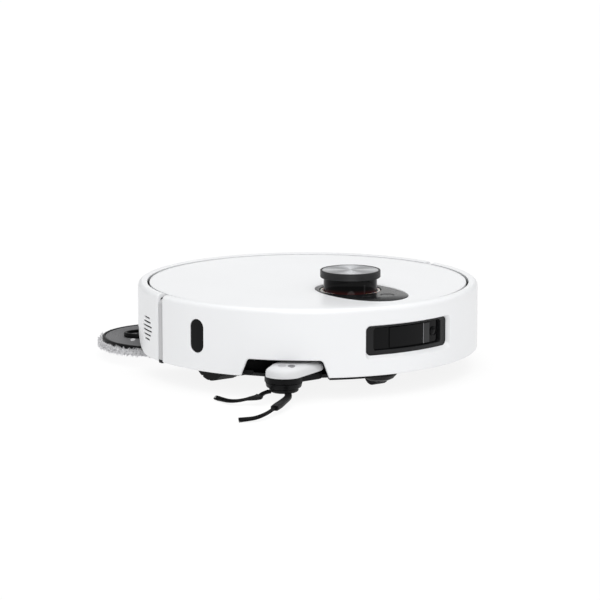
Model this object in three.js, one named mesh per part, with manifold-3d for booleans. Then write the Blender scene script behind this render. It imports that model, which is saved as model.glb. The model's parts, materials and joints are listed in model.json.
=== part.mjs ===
// A round robot vacuum cleaner with a raised laser turret, a side brush on a swing arm and two
// spinning mops, one of them swung out. Millimetres, +Z up, the front faces -Y, and the
// machine's own right is -X. Angles named "th" turn from the front towards the machine's right.
import * as THREE from "three";
import { mergeVertices } from "three/addons/utils/BufferGeometryUtils.js";
import Module from "manifold-3d";

const wasm = await Module();
wasm.setup();

// ---------- driving dimensions ----------
const BODY_R = 175; // outer wall of bumper and rear shell
const WALL = 3; // wall of the outer shells
const WALL_BOTTOM = 21.8; // lower edge of the outer wall
const RIM_TOP = 90.5; // highest line of the rounded top edge
const RIM_ROUND = 5.5; // radius of that rounded edge
const FLANGE_R = 165.6; // inner edge of the flange round the lid
const LID_R = 163.2;
const LID_EDGE = 89; // top of the lid at its rim
const LID_TOP = 90.5; // top of the slightly crowned lid in the middle
const LID_THICK = 3.2;
const DECK_TOP = 90.2; // black deck round the turret
const SEAT_GAP = 0.3; // gap between touching pieces
const BUMPER_END = 92; // th where the bumper stops
const SHELL_END = 95.3; // th where the rear shell's full wall starts
const BUMPER_TRAVEL = 2;

const CHASSIS_FLOOR = 10.5; // underside of the flat middle of the chassis
const CHASSIS_SKIRT_R = 167.5;
const CHASSIS_WALL = 3;
const CEILING = 38; // underside of the raised rear part, above the mops
const FRAME_R = 160; // inner frame ring
const DECK_BOTTOM = 82;

const TOWER_Y = -73.7;
const CAP_R = 30.5;
const CAP_TOP = 110.5;
const CAP_THICK = 7.7;
const WINDOW_R = 27.2;
const WELL_R = 31.3;

const WHEEL_R = 32;
const WHEEL_Y = -6;
const WHEEL_IN = 104; // inner face of the tyre
const WHEEL_OUT = 127; // outer face of the tyre

const CASTER_Y = -122;
const CASTER_R = 19.5;

const BRUSH_PIVOT = [-90, -131]; // where the side brush arm turns
const BRUSH_HUB = [-120.5, -128]; // brush spindle with the arm swung out
const ARM_TOP = 36.2;
const ARM_STRUT = 19.5; // underside of the arm between pivot and motor
const ARM_SPLIT = 25.4; // joint of white cover and black motor housing
const HOUSING_R = 19;

const PAD_BOTTOM = 11.3;
const PAD_R = 72.5;
const PLATE_R = 68.2;
const PLATE_BOTTOM = 18.2;
const PLATE_TOP = 22;
const HOLDER_TOP = 26.8;
const HOLDER_R = 46; // tips of the three-lobed mop holder
const HOLDER_LOBE = 25; // radius of each of its lobes
const MOP_PIVOT = [-38, 130];
const MOP_ARM = 54; // pivot to mop spindle
const MOP_OUT_DEG = 185; // direction of the arm, from +X, swung out
const MOP_SWING_DEG = 43.8; // turn from there back under the body

const ROLLER_R = 15.5;
const ROLLER_Y = [-41.5, -9.5];
const ROLLER_Z = 16.6;

const WINDOW = { th: -1, half: 53.3, low: 38, high: 72.2, round: 5 };
const WINDOW_DEPTH = 4.6; // from the outer wall to the black bezel
const WINDOW_DRAFT = { side: 1.8, top: 1.4, bottom: 3.5 }; // how far its edges slope inwards
const WINDOW_LIP = 2.6; // how far the lip behind the window opening laps over the bezel
const PILL = { th: 74.6, half: 8.5, low: 39.8, high: 73.6 };

// ---------- helpers ----------
const rad = THREE.MathUtils.degToRad;

// Point at angle th from the front and radius r.
function polar(th, r) {
  return [-r * Math.sin(rad(th)), -r * Math.cos(rad(th))];
}

// A closed three.js geometry as a solid.
function solid(geometry) {
  const bare = new THREE.BufferGeometry();
  bare.setAttribute("position", geometry.getAttribute("position").clone());
  if (geometry.index) bare.setIndex(geometry.index.clone());
  const merged = mergeVertices(bare, 1e-4);
  const corners = merged.index.array;
  const kept = [];
  for (let i = 0; i < corners.length; i += 3) {
    const [a, b, c] = [corners[i], corners[i + 1], corners[i + 2]];
    if (a !== b && b !== c && a !== c) kept.push(a, b, c);
  }
  const make = (triangles) =>
    new wasm.Manifold(
      new wasm.Mesh({
        numProp: 3,
        vertProperties: new Float32Array(merged.attributes.position.array),
        triVerts: new Uint32Array(triangles),
      }),
    );
  const made = make(kept);
  if (made.volume() >= 0) return made;
  const turned = [];
  for (let i = 0; i < kept.length; i += 3) turned.push(kept[i], kept[i + 2], kept[i + 1]);
  return make(turned);
}

function join(...solids) {
  return solids.reduce((sum, next) => sum.add(next));
}

function cut(body, ...tools) {
  return tools.reduce((left, tool) => left.subtract(tool), body);
}

function box([x0, x1], [y0, y1], [z0, z1]) {
  const shape = new THREE.BoxGeometry(x1 - x0, y1 - y0, z1 - z0);
  shape.translate((x0 + x1) / 2, (y0 + y1) / 2, (z0 + z1) / 2);
  return solid(shape);
}

// Upright cylinder.
function rod([x, y], r, z0, z1, sides = 24) {
  const shape = new THREE.CylinderGeometry(r, r, z1 - z0, sides);
  shape.rotateX(Math.PI / 2);
  shape.translate(x, y, (z0 + z1) / 2);
  return solid(shape);
}

// Cylinder lying along X.
function rodX([y, z], r, x0, x1, sides = 24) {
  const shape = new THREE.CylinderGeometry(r, r, x1 - x0, sides);
  shape.rotateZ(Math.PI / 2);
  shape.translate((x0 + x1) / 2, y, z);
  return solid(shape);
}

// A profile of [radius, z] points turned about an upright axis. An open profile starts and
// ends on the axis; a closed one ends where it starts.
function turned(profile, sides = 48, [x, y] = [0, 0]) {
  const points = profile.map(([r, z]) => new THREE.Vector2(r, z));
  const shape = new THREE.LatheGeometry(points, sides);
  shape.rotateX(Math.PI / 2);
  shape.translate(x, y, 0);
  return solid(shape);
}

function ring([x, y], outer, inner, z0, z1, sides = 32) {
  return turned(
    [
      [inner, z0],
      [outer, z0],
      [outer, z1],
      [inner, z1],
      [inner, z0],
    ],
    sides,
    [x, y],
  );
}

// An outline pushed up from z0 to z1.
function prism(outline, z0, z1, curveSegments = 10) {
  const shape = outline instanceof THREE.Shape ? outline : polygon(outline);
  const body = new THREE.ExtrudeGeometry(shape, {
    depth: z1 - z0,
    bevelEnabled: false,
    curveSegments,
  });
  body.translate(0, 0, z0);
  return solid(body);
}

function polygon(points) {
  return new THREE.Shape(points.map(([x, y]) => new THREE.Vector2(x, y)));
}

// Outline round two circles, for arms and links.
function link([ax, ay], ra, [bx, by], rb, steps = 14) {
  const along = Math.atan2(by - ay, bx - ax);
  const lean = Math.acos((ra - rb) / Math.hypot(bx - ax, by - ay));
  const points = [];
  for (let i = 0; i <= steps; i++) {
    const turn = along + lean + (i / steps) * (2 * Math.PI - 2 * lean);
    points.push([ax + ra * Math.cos(turn), ay + ra * Math.sin(turn)]);
  }
  for (let i = 0; i <= steps; i++) {
    const turn = along - lean + (i / steps) * 2 * lean;
    points.push([bx + rb * Math.cos(turn), by + rb * Math.sin(turn)]);
  }
  return points;
}

// Rectangle with round corners, centred on (cx, cy).
function roundRect(cx, cy, width, height, r) {
  const [x, y] = [cx - width / 2, cy - height / 2];
  const shape = new THREE.Shape();
  shape.absarc(x + width - r, y + r, r, -Math.PI / 2, 0);
  shape.absarc(x + width - r, y + height - r, r, 0, Math.PI / 2);
  shape.absarc(x + r, y + height - r, r, Math.PI / 2, Math.PI);
  shape.absarc(x + r, y + r, r, Math.PI, 1.5 * Math.PI);
  shape.closePath();
  return shape;
}

// A cutter that stands on the wall at angle th: the outline's first coordinate runs sideways
// along the wall, its second is the height.
function wallCutter(outline, th, r0, r1, curveSegments = 6) {
  const shape = outline instanceof THREE.Shape ? outline : polygon(outline);
  const body = new THREE.ExtrudeGeometry(shape, {
    depth: r1 - r0,
    bevelEnabled: false,
    curveSegments,
  });
  body.translate(0, 0, r0);
  body.rotateX(Math.PI / 2); // outline stands up, depth runs towards -Y
  body.rotateZ(-rad(th));
  return solid(body);
}

// A plate that follows the round wall between two radii. At its inner and at its outer face it is
// as large as the rectangle with round corners given for that face.
function wallPane(th, inner, outer, r0, r1) {
  const [cornerSteps, flatSteps] = [5, 16];
  const quarter = Math.PI / 2 / cornerSteps;
  // Upright edges from left to right: place along the straight part, reach into the corner.
  const edges = [];
  for (let i = 0; i < cornerSteps; i++) edges.push([-1, -Math.cos(i * quarter)]);
  for (let i = 0; i <= flatSteps; i++) edges.push([(2 * i) / flatSteps - 1, 0]);
  for (let i = 1; i <= cornerSteps; i++) edges.push([1, Math.sin(i * quarter)]);
  const ends = ([straight, reach], { half, low, high, round }, r) => {
    const x = straight * (half - round) + reach * round;
    const drop = round * (1 - Math.sqrt(1 - reach ** 2));
    const [px, py] = polar(th - THREE.MathUtils.radToDeg(x / BODY_R), r);
    return [
      [px, py, low + drop],
      [px, py, high - drop],
    ];
  };
  const corners = edges.flatMap((edge) => {
    const [insideFoot, insideHead] = ends(edge, inner, r0);
    const [outsideFoot, outsideHead] = ends(edge, outer, r1);
    return [insideFoot, insideHead, outsideHead, outsideFoot];
  });
  const index = [];
  const quad = (a, b, c, d) => index.push(a, b, c, a, c, d);
  for (let i = 0; i + 1 < edges.length; i++) {
    for (let j = 0; j < 4; j++) {
      const k = (j + 1) % 4;
      quad(4 * i + j, 4 * i + k, 4 * (i + 1) + k, 4 * (i + 1) + j);
    }
  }
  const last = 4 * (edges.length - 1);
  quad(3, 2, 1, 0);
  quad(last, last + 1, last + 2, last + 3);
  const shape = new THREE.BufferGeometry();
  shape.setAttribute("position", new THREE.Float32BufferAttribute(corners.flat(), 3));
  shape.setIndex(index);
  return solid(shape);
}

// Everything between two angles, as a cutter.
function sector(from, to, z0, z1, reach = 260) {
  const steps = Math.max(2, Math.ceil((to - from) / 30));
  const points = [[0, 0]];
  for (let i = 0; i <= steps; i++) points.push(polar(from + ((to - from) * i) / steps, reach));
  return prism(points, z0, z1);
}

// A tube that follows a curve; its section is w wide and h high.
function swept(route, w, h, steps = 10, sides = 8) {
  const section = new THREE.Shape();
  section.absellipse(0, 0, h / 2, w / 2, 0, 2 * Math.PI, false, 0);
  const body = new THREE.ExtrudeGeometry(
    new THREE.Shape(section.getSpacedPoints(sides).slice(0, sides)),
    {
      steps,
      extrudePath: new THREE.CatmullRomCurve3(route.map((p) => new THREE.Vector3(...p))),
      bevelEnabled: false,
    },
  );
  return solid(body);
}

const group = new THREE.Group();

// Adds one named piece to the object.
function piece(name, body, color, roughness, metalness = 0) {
  const mesh = body.getMesh();
  const geometry = new THREE.BufferGeometry();
  geometry.setAttribute("position", new THREE.BufferAttribute(mesh.vertProperties, 3));
  geometry.setIndex(new THREE.BufferAttribute(mesh.triVerts, 1));
  const node = new THREE.Mesh(
    geometry,
    new THREE.MeshStandardMaterial({ color, roughness, metalness }),
  );
  node.name = name;
  group.add(node);
}

const WHITE = 0xf2f3f4;
const BLACK = 0x151617;
const DARK = 0x2b2c2f;
const GREY = 0x77787c;
const PALE = 0xe9e4da;
const STEEL = 0xb9bcc0;

// ---------- outer shells ----------
// Closed section of the outer wall: straight side, rounded top edge, flange towards the lid.
function shellProfile() {
  const arcX = BODY_R - RIM_ROUND;
  const arcZ = RIM_TOP - RIM_ROUND;
  const points = [
    [BODY_R - WALL, WALL_BOTTOM + 0.6],
    [BODY_R - 1.6, WALL_BOTTOM],
    [BODY_R, WALL_BOTTOM + 2],
  ];
  for (const turn of [0, 35, 65, 95]) {
    points.push([
      arcX + RIM_ROUND * Math.cos(rad(turn)),
      arcZ + RIM_ROUND * Math.sin(rad(turn)),
    ]);
  }
  points.push([FLANGE_R, LID_EDGE + 0.6]);
  points.push([FLANGE_R, LID_EDGE - 2.8]);
  points.push([BODY_R - WALL - 2, LID_EDGE - 3]);
  points.push([BODY_R - WALL, LID_EDGE - 6]);
  points.push(points[0]);
  return points;
}

const SHELL_SIDES = 60;

// Trapezoid cut-out under the front right corner, where the side brush arm comes out.
function brushCutout() {
  const [top, round] = [39.3, 4];
  const [left, right] = [
    { foot: 45.4, head: 36.6 },
    { foot: 43.3, head: 35.2 },
  ];
  const foot = WALL_BOTTOM - 1;
  return [
    [-left.foot, 0],
    [right.foot, 0],
    [right.foot, foot],
    [right.head + 1.5, top - round],
    [right.head - 1, top - 1],
    [right.head - round, top],
    [round - left.head, top],
    [1 - left.head, top - 1],
    [-left.head - 1.5, top - round],
    [-left.foot, foot],
  ];
}

// The window opening's edge on the outer wall, and the smaller edge of its black bezel.
const WINDOW_BACK = {
  half: WINDOW.half - WINDOW_DRAFT.side,
  low: WINDOW.low + WINDOW_DRAFT.bottom,
  high: WINDOW.high - WINDOW_DRAFT.top,
  round: WINDOW.round,
};

function widened({ half, low, high, round }, by) {
  return { half: half + by, low: low - by, high: high + by, round: Math.max(0.5, round + by) };
}

function bumperShell() {
  const windowR = BODY_R - WINDOW_DEPTH;
  const lip = widened(WINDOW_BACK, WINDOW_LIP);
  const opening = join(
    wallPane(WINDOW.th, WINDOW_BACK, WINDOW, windowR, BODY_R),
    wallPane(WINDOW.th, WINDOW, WINDOW, BODY_R - 0.01, BODY_R + 5),
    wallPane(WINDOW.th, WINDOW_BACK, WINDOW_BACK, windowR - 5, windowR + 0.01),
  );
  const slot = roundRect(
    0,
    (PILL.low + PILL.high) / 2,
    2 * PILL.half,
    PILL.high - PILL.low,
    PILL.half - 0.1,
  );
  const wall = turned(shellProfile(), SHELL_SIDES).intersect(
    sector(-BUMPER_END, BUMPER_END, 0, 120),
  );
  return cut(
    join(wall, wallPane(WINDOW.th, lip, lip, windowR, BODY_R - WALL + 0.4)),
    wallCutter(brushCutout(), 43, 140, 200),
    opening,
    wallCutter(slot, PILL.th, 150, 200),
  );
}

// The rear shell's lower edge climbs in a quarter ellipse from th 104 to an arch over the mops.
function rearArch() {
  const [start, end, high] = [104, 117.7, 43];
  const steps = 8;
  const cuts = [];
  for (const side of [1, -1]) {
    const middle = side * (start + end) * 0.5;
    const half = BODY_R * rad((end - start) / 2);
    const points = [[side * half, 0]];
    for (let i = 0; i <= steps; i++) {
      const turn = (i / steps) * (Math.PI / 2);
      points.push([
        side * (2 * half * Math.sin(turn) - half) * -1,
        high - (high - WALL_BOTTOM) * Math.cos(turn),
      ]);
    }
    points.push([-side * half, 0]);
    cuts.push(wallCutter(points, middle, 150, 200));
  }
  return join(sector(end - 0.4, 360 - end + 0.4, 0, high), ...cuts);
}

// Six level air slots above each other, the middle ones longest.
function airSlots() {
  const [th, low, pitch, height] = [104.2, 40, 4.4, 1.6];
  const lengths = [16, 22, 27, 27, 22, 17];
  return lengths.map((length, i) =>
    wallCutter(roundRect(0, low + i * pitch, length, height, 0.75), th, 150, 200, 3),
  );
}

function rearShell() {
  const full = turned(shellProfile(), SHELL_SIDES).intersect(
    sector(SHELL_END, 360 - SHELL_END, 0, 120),
  );
  const [low, high] = [WALL_BOTTOM + 0.8, LID_EDGE - 7];
  const strip = ring([0, 0], BODY_R - WALL - 0.6, 168.6, low, high, SHELL_SIDES);
  const lip = ring([0, 0], BODY_R - 1.2, 168.6, low, high, SHELL_SIDES);
  const lipStart = BUMPER_END + THREE.MathUtils.radToDeg((BUMPER_TRAVEL + 0.75) / BODY_R);
  const grooves = [1, -1].map((side) => {
    const between = (from, to) => {
      const [a, b] = [side * from, side * to].sort((p, q) => p - q);
      return sector(a, b, 0, 120);
    };
    return join(
      strip.intersect(between(BUMPER_END - 1.2, SHELL_END + 0.4)),
      lip.intersect(between(lipStart, SHELL_END + 0.4)),
    );
  });
  return cut(join(full, ...grooves), rearArch(), ...airSlots());
}

// Rounded egg outline of the black deck round the turret, widened by grow.
function deckOutline(grow = 0) {
  const shape = new THREE.Shape();
  const [back, middle, front] = [-36 + grow, -90, -149 - grow];
  const wide = 38.2 + grow;
  shape.moveTo(0, back);
  shape.bezierCurveTo(wide * 0.6, back, wide, back - 26, wide, middle);
  shape.bezierCurveTo(wide, middle - 34, wide * 0.62, front, 0, front);
  shape.bezierCurveTo(-wide * 0.62, front, -wide, middle - 34, -wide, middle);
  shape.bezierCurveTo(-wide, back - 26, -wide * 0.6, back, 0, back);
  return shape;
}

const BUTTONS = { start_button: [11, -121], home_button: [-11, -121] };
const BUTTON_R = 6.5;

function outerShells() {
  piece("bumper_shell", bumperShell(), WHITE, 0.35);
  piece("rear_shell", rearShell(), WHITE, 0.35);
  const lid = cut(
    turned(
      [
        [0, LID_EDGE - LID_THICK],
        [LID_R - 0.6, LID_EDGE - LID_THICK],
        [LID_R, LID_EDGE - LID_THICK + 0.6],
        [LID_R, LID_EDGE - 0.6],
        [LID_R - 0.6, LID_EDGE],
        [148, LID_EDGE + 0.8],
        [128, LID_TOP - 0.3],
        [100, LID_TOP],
        [0, LID_TOP],
      ],
      SHELL_SIDES,
    ),
    prism(deckOutline(0.6), 80, 95, 7),
  );
  piece("top_lid", lid, WHITE, 0.35);
  const holes = Object.values(BUTTONS).map((at) => rod(at, BUTTON_R + 0.4, 80, 95, 20));
  const deck = cut(
    prism(deckOutline(), LID_EDGE - LID_THICK, DECK_TOP, 7),
    rod([0, TOWER_Y], WELL_R, 80, 95, 32),
    ...holes,
  );
  piece("turret_deck", deck, BLACK, 0.25);
  for (const [name, at] of Object.entries(BUTTONS)) {
    piece(name, rod(at, BUTTON_R, DECK_BOTTOM + 0.8, DECK_TOP - 0.2, 20), DARK, 0.3);
  }
}

// ---------- front window and side sensor ----------
function frontWindow() {
  const frameWidth = 4;
  const face = BODY_R - WINDOW_DEPTH - SEAT_GAP;
  const outside = widened(WINDOW_BACK, WINDOW_LIP);
  const inside = widened(WINDOW_BACK, -frameWidth);
  const glassEdge = widened(inside, -SEAT_GAP);
  const bezel = cut(
    wallPane(WINDOW.th, outside, outside, face - 3, face),
    wallPane(WINDOW.th, inside, inside, face - 5, face + 2),
  );
  const glass = wallPane(WINDOW.th, glassEdge, glassEdge, face - 3, face - 1.2);
  piece("window_bezel", bezel, BLACK, 0.3);
  piece("window_glass", glass, 0x0a0b0d, 0.05);
  const pill = ring([0, 0], BODY_R - 0.4, BODY_R - 4.4, 30, 84, 72).intersect(
    wallCutter(
      roundRect(
        0,
        (PILL.low + PILL.high) / 2,
        2 * (PILL.half - SEAT_GAP),
        PILL.high - PILL.low - 2 * SEAT_GAP,
        PILL.half - SEAT_GAP - 0.1,
      ),
      PILL.th,
      150,
      200,
    ),
  );
  piece("side_sensor_window", pill, 0x0a0b0d, 0.05);
  const bar = join(
    box([-44, 44], [-157.5, -150], [48, 66]),
    box([30, 44], [-150.5, -140], [46, 68]),
  );
  piece("front_sensor_bar", bar, DARK, 0.5);
}

// ---------- chassis, inner frame and deck ----------
// Where the side brush arm swings in and out.
function armWell() {
  return rod(BRUSH_PIVOT, 57, 0, 37.4, 40).intersect(box([-200, -74], [-220, -60], [0, 40]));
}

function chassisFront() {
  const slopeStart = 118;
  const floor = turned(
    [
      [0, CHASSIS_FLOOR],
      [slopeStart, CHASSIS_FLOOR],
      [CHASSIS_SKIRT_R - 1, 21.2],
      [CHASSIS_SKIRT_R, 22.2],
      [CHASSIS_SKIRT_R, 26.5],
      [CHASSIS_SKIRT_R - CHASSIS_WALL, 26.5],
      [CHASSIS_SKIRT_R - CHASSIS_WALL, 24.2],
      [slopeStart - 1, CHASSIS_FLOOR + CHASSIS_WALL],
      [0, CHASSIS_FLOOR + CHASSIS_WALL],
    ],
    SHELL_SIDES,
  );
  const behind = join(box([-132, 132], [14.5, 200], [0, 40]), box([-200, 200], [30.5, 200], [0, 40]));
  return cut(floor, behind);
}

function chassisRear() {
  const roofTop = CEILING + CHASSIS_WALL;
  const ceiling = cut(
    rod([0, 0], BODY_R - WALL - 0.5, CEILING, roofTop, SHELL_SIDES),
    box([-133, 133], [-200, 12], [0, 60]),
    box([-200, 200], [-200, 28], [0, 60]),
  );
  const inFront = box([-101.5, 101.5], [12, 29], [CEILING, roofTop]);
  const skirt = cut(
    ring([0, 0], BODY_R - WALL - 0.5, 168, CEILING, 52, SHELL_SIDES),
    box([-200, 200], [-200, 28], [0, 60]),
  );
  const outerWalls = join(
    box([-160, -131], [28, 30.5], [21.6, roofTop]),
    box([131, 160], [28, 30.5], [21.6, roofTop]),
  );
  const rearWall = box([-101.5, 101.5], [12, 14.5], [CHASSIS_FLOOR, roofTop]);
  return join(ceiling, inFront, skirt, rearWall, outerWalls);
}

function chassisBase() {
  const ribs = [
    [-24, 28],
    [60.5, 82],
    [-82, -60],
  ].map(([from, to]) =>
    ring([0, 0], FRAME_R, FRAME_R - 3, 21, 41.6, SHELL_SIDES).intersect(sector(from, to, 0, 60)),
  );
  const roof = ring([0, 0], 163, 100, 37.4, 39.6, SHELL_SIDES).intersect(sector(25, 61.5, 0, 60));
  const pivotPost = rod(BRUSH_PIVOT, 4.5, ARM_STRUT + 0.5, 38, 16);
  const postGuide = rod(MOP_PIVOT, 12, CEILING + 1, 62);
  const body = cut(
    join(chassisFront(), chassisRear(), ...ribs, postGuide),
    armWell(),
  );
  const wells = [-1, 1].map((side) => {
    const xs = [side * 84.5, side * 131].sort((a, b) => a - b);
    return box(xs, [-48, 29], [0, 80]);
  });
  const contacts = [-38, 38].map((x) => box([x - 4.5, x + 4.5], [-113, -95], [0, 12.1]));
  const cliffHoles = [-60, 60].map((x) => rod([x, -128], 6.3, 0, 24));
  return cut(
    join(body, roof, pivotPost),
    ...wells,
    ...contacts,
    ...cliffHoles,
    box([-80.2, 80.2], [-57.6, 7.8], [0, 20]),
    rod([0, CASTER_Y], CASTER_R + 1, 0, 36),
    rod(MOP_PIVOT, 8.6, 30, 70),
    rod(mopHome(1), 8.9, 30, 70),
  );
}

function innerFrame() {
  const body = ring([0, 0], FRAME_R, FRAME_R - 3, 41.9, DECK_BOTTOM - SEAT_GAP, 48);
  return cut(
    body,
    box([-48, 48], [-200, -120], [44, 70]),
    wallCutter(roundRect(0, 57, 24, 36, 6), PILL.th, 140, 200),
    wallCutter(roundRect(0, 51, 34, 28, 4), 104.2, 140, 200),
  );
}

function topDeck() {
  const thick = 3.2;
  return cut(
    rod([0, 0], LID_R - 0.4, DECK_BOTTOM, DECK_BOTTOM + thick, SHELL_SIDES),
    rod([0, TOWER_Y], WELL_R + 2.4, 70, 95, 32),
    box([-55, 55], [13, 115], [70, 95]),
    ...Object.values(BUTTONS).map((at) => rod(at, BUTTON_R + 0.6, 70, 95, 16)),
  );
}

function frame() {
  piece("chassis_base", chassisBase(), BLACK, 0.6);
  piece("inner_frame", innerFrame(), DARK, 0.6);
  piece("top_deck", topDeck(), DARK, 0.6);
  for (const side of [-1, 1]) {
    const name = side < 0 ? "right" : "left";
    const x = side * 38;
    const contact = box([x - 4.2, x + 4.2], [-112.7, -95.3], [10.1, 11.8]);
    piece(`${name}_charge_contact`, contact, STEEL, 0.25, 1);
    piece(`${name}_cliff_sensor`, rod([side * 60, -128], 6, 14.4, 18.4), 0x0a0b0d, 0.1);
  }
}

// ---------- laser turret ----------
function turret() {
  const at = [0, TOWER_Y];
  const [seatTop, ringTop] = [DECK_TOP - 1.3, DECK_TOP - 0.6];
  const capBottom = CAP_TOP - CAP_THICK;
  const well = turned(
    [
      [0, 45],
      [WELL_R + 2, 45],
      [WELL_R + 2, DECK_BOTTOM + 3.2],
      [WELL_R, DECK_BOTTOM + 3.2],
      [WELL_R, 47.5],
      [0, 47.5],
    ],
    28,
    at,
  );
  piece("turret_well", well, BLACK, 0.5);
  const carriage = turned(
    [
      [0, 84],
      [26, 84],
      [26, 72],
      [CAP_R, 72],
      [CAP_R, ringTop - 2.6],
      [WINDOW_R + 0.4, ringTop - 2.6],
      [WINDOW_R + 0.4, seatTop],
      [0, seatTop],
    ],
    32,
    at,
  );
  piece("turret_carriage", carriage, BLACK, 0.4);
  piece("light_ring", ring(at, CAP_R, WINDOW_R + 0.7, ringTop - 2.3, ringTop, 32), PALE, 0.4);
  const window = ring(at, WINDOW_R, WINDOW_R - 2.2, seatTop + SEAT_GAP, capBottom - SEAT_GAP, 32);
  piece("turret_window", window, 0x1a1416, 0.05);
  const cap = turned(
    [
      [0, capBottom],
      [CAP_R - 0.6, capBottom],
      [CAP_R, capBottom + 0.6],
      [CAP_R, CAP_TOP - 0.6],
      [CAP_R - 0.6, CAP_TOP],
      [CAP_R - 1.3, CAP_TOP],
      [CAP_R - 1.5, CAP_TOP - 1.4],
      [0, CAP_TOP - 1.4],
    ],
    36,
    at,
  );
  piece("turret_cap", cap, BLACK, 0.3);
  const disc = turned(
    [
      [0, CAP_TOP - 1.1],
      [CAP_R - 1.9, CAP_TOP - 1.1],
      [CAP_R - 1.9, CAP_TOP - 0.4],
      [0, CAP_TOP - 0.4],
    ],
    32,
    at,
  );
  piece("turret_cap_disc", disc, STEEL, 0.3, 1);
  const optics = cut(
    rod(at, 21, seatTop + 1, capBottom - 2.5, 24),
    box([-6, 6], [-200, TOWER_Y - 12], [92, 97.5]),
  );
  piece("turret_optics", optics, DARK, 0.4);
}

// ---------- side brush ----------
// White cover: rounded outer end, flat cut on its inner left, narrow end at the pivot.
function armCoverOutline() {
  const shape = new THREE.Shape();
  shape.moveTo(-142.5, -131);
  shape.bezierCurveTo(-142.5, -144, -132, -152.5, -120, -151.5);
  shape.lineTo(-87.5, -143.2);
  shape.bezierCurveTo(-82, -141.5, -78, -136, -78, -131);
  shape.bezierCurveTo(-78, -124, -84, -119, -91, -117);
  shape.lineTo(-114, -109.5);
  shape.bezierCurveTo(-118, -108.2, -122, -110, -126, -113);
  shape.lineTo(-139, -124);
  shape.bezierCurveTo(-141.6, -126.2, -142.5, -128, -142.5, -131);
  return shape;
}

function sideBrushArm() {
  const bore = rod(BRUSH_PIVOT, 4.9, 0, 60, 16);
  const cover = prism(armCoverOutline(), ARM_SPLIT + SEAT_GAP, ARM_TOP, 5);
  piece("side_arm_cover", cut(cover, bore), WHITE, 0.35);
  const housing = turned(
    [
      [0, 13.6],
      [16.6, 13.6],
      [HOUSING_R, 17],
      [HOUSING_R, ARM_SPLIT],
      [0, ARM_SPLIT],
    ],
    28,
    BRUSH_HUB,
  );
  const strut = prism(link(BRUSH_HUB, 15, BRUSH_PIVOT, 11), ARM_STRUT, ARM_SPLIT);
  piece(
    "side_arm_motor_housing",
    cut(join(housing, strut), bore, rod(BRUSH_HUB, 3.4, 0, 22, 20)),
    BLACK,
    0.45,
  );
}

// Routes of the two brush arms from the spindle, [sideways, forwards, height].
const BRUSH_ROUTES = {
  a: [
    [-8, 4, 10.6],
    [-22, 2.5, 9.5],
    [-32, -2.6, 8],
    [-40.2, 3.6, 5.9],
    [-49.5, 8, 4.4],
    [-53.8, 18, 3.3],
    [-52.7, 40, 2.1],
  ],
  b: [
    [-3, -10, 10.6],
    [-13.5, -26, 9.6],
    [-28.5, -37.5, 8],
    [-42.5, -46.5, 6.6],
    [-60.5, -57, 4.8],
    [-77, -61.5, 3.4],
    [-91.2, -55.4, 2.1],
  ],
};

// Share of each route that is rubber arm; the rest is bristles.
const SLEEVE_SHARE = 0.5;

function sideBrush() {
  const hub = join(
    turned(
      [
        [0, 9],
        [13, 9],
        [14.5, 10.4],
        [14.5, 13.2],
        [0, 13.2],
      ],
      24,
      BRUSH_HUB,
    ),
    rod(BRUSH_HUB, 3, 13, 20, 16),
  );
  piece("side_brush_hub", hub, BLACK, 0.4);
  const keepOff = join(
    rod(BRUSH_HUB, 14.8, 0, 20, 24),
    rod(BRUSH_HUB, HOUSING_R + 1, 13.3, 20, 24),
  );
  for (const [name, steps] of Object.entries(BRUSH_ROUTES)) {
    const curve = new THREE.CatmullRomCurve3(
      steps.map(([x, y, z]) => new THREE.Vector3(BRUSH_HUB[0] + x, BRUSH_HUB[1] + y, z)),
    );
    const sleeve = swept(stretch(curve, 0, SLEEVE_SHARE), 8, 4.6, 8);
    piece(`side_brush_arm_${name}`, cut(sleeve, keepOff), BLACK, 0.6);
    const tuft = swept(stretch(curve, SLEEVE_SHARE + 0.012, 1), 4.6, 3.6, 10, 6);
    piece(`side_brush_tuft_${name}`, tuft, BLACK, 0.8);
  }
}

// Part of a curve as its own route.
function stretch(curve, from, to, points = 8) {
  return Array.from({ length: points + 1 }, (_, i) =>
    curve.getPoint(from + ((to - from) * i) / points).toArray(),
  );
}

// ---------- mops ----------
// Spindle of a mop under the body: side -1 is the machine's right, 1 its left.
function mopHome(side) {
  const turn = rad(MOP_OUT_DEG + MOP_SWING_DEG);
  const x = MOP_PIVOT[0] + MOP_ARM * Math.cos(turn);
  return [-side * x, MOP_PIVOT[1] + MOP_ARM * Math.sin(turn)];
}

function mopOut() {
  const turn = rad(MOP_OUT_DEG);
  return [MOP_PIVOT[0] + MOP_ARM * Math.cos(turn), MOP_PIVOT[1] + MOP_ARM * Math.sin(turn)];
}

// Rounded triangle of the mop holder; its first lobe points firstLobe degrees from +X.
function lobes([x, y], firstLobe) {
  const points = [];
  const middle = HOLDER_R - HOLDER_LOBE;
  const steps = 8;
  for (const turn of [0, 120, 240]) {
    const ahead = rad(firstLobe + turn);
    for (let i = 0; i <= steps; i++) {
      const angle = ahead + rad((i / steps) * 120 - 60);
      points.push([
        x + middle * Math.cos(ahead) + HOLDER_LOBE * Math.cos(angle),
        y + middle * Math.sin(ahead) + HOLDER_LOBE * Math.sin(angle),
      ]);
    }
  }
  return points;
}

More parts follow.
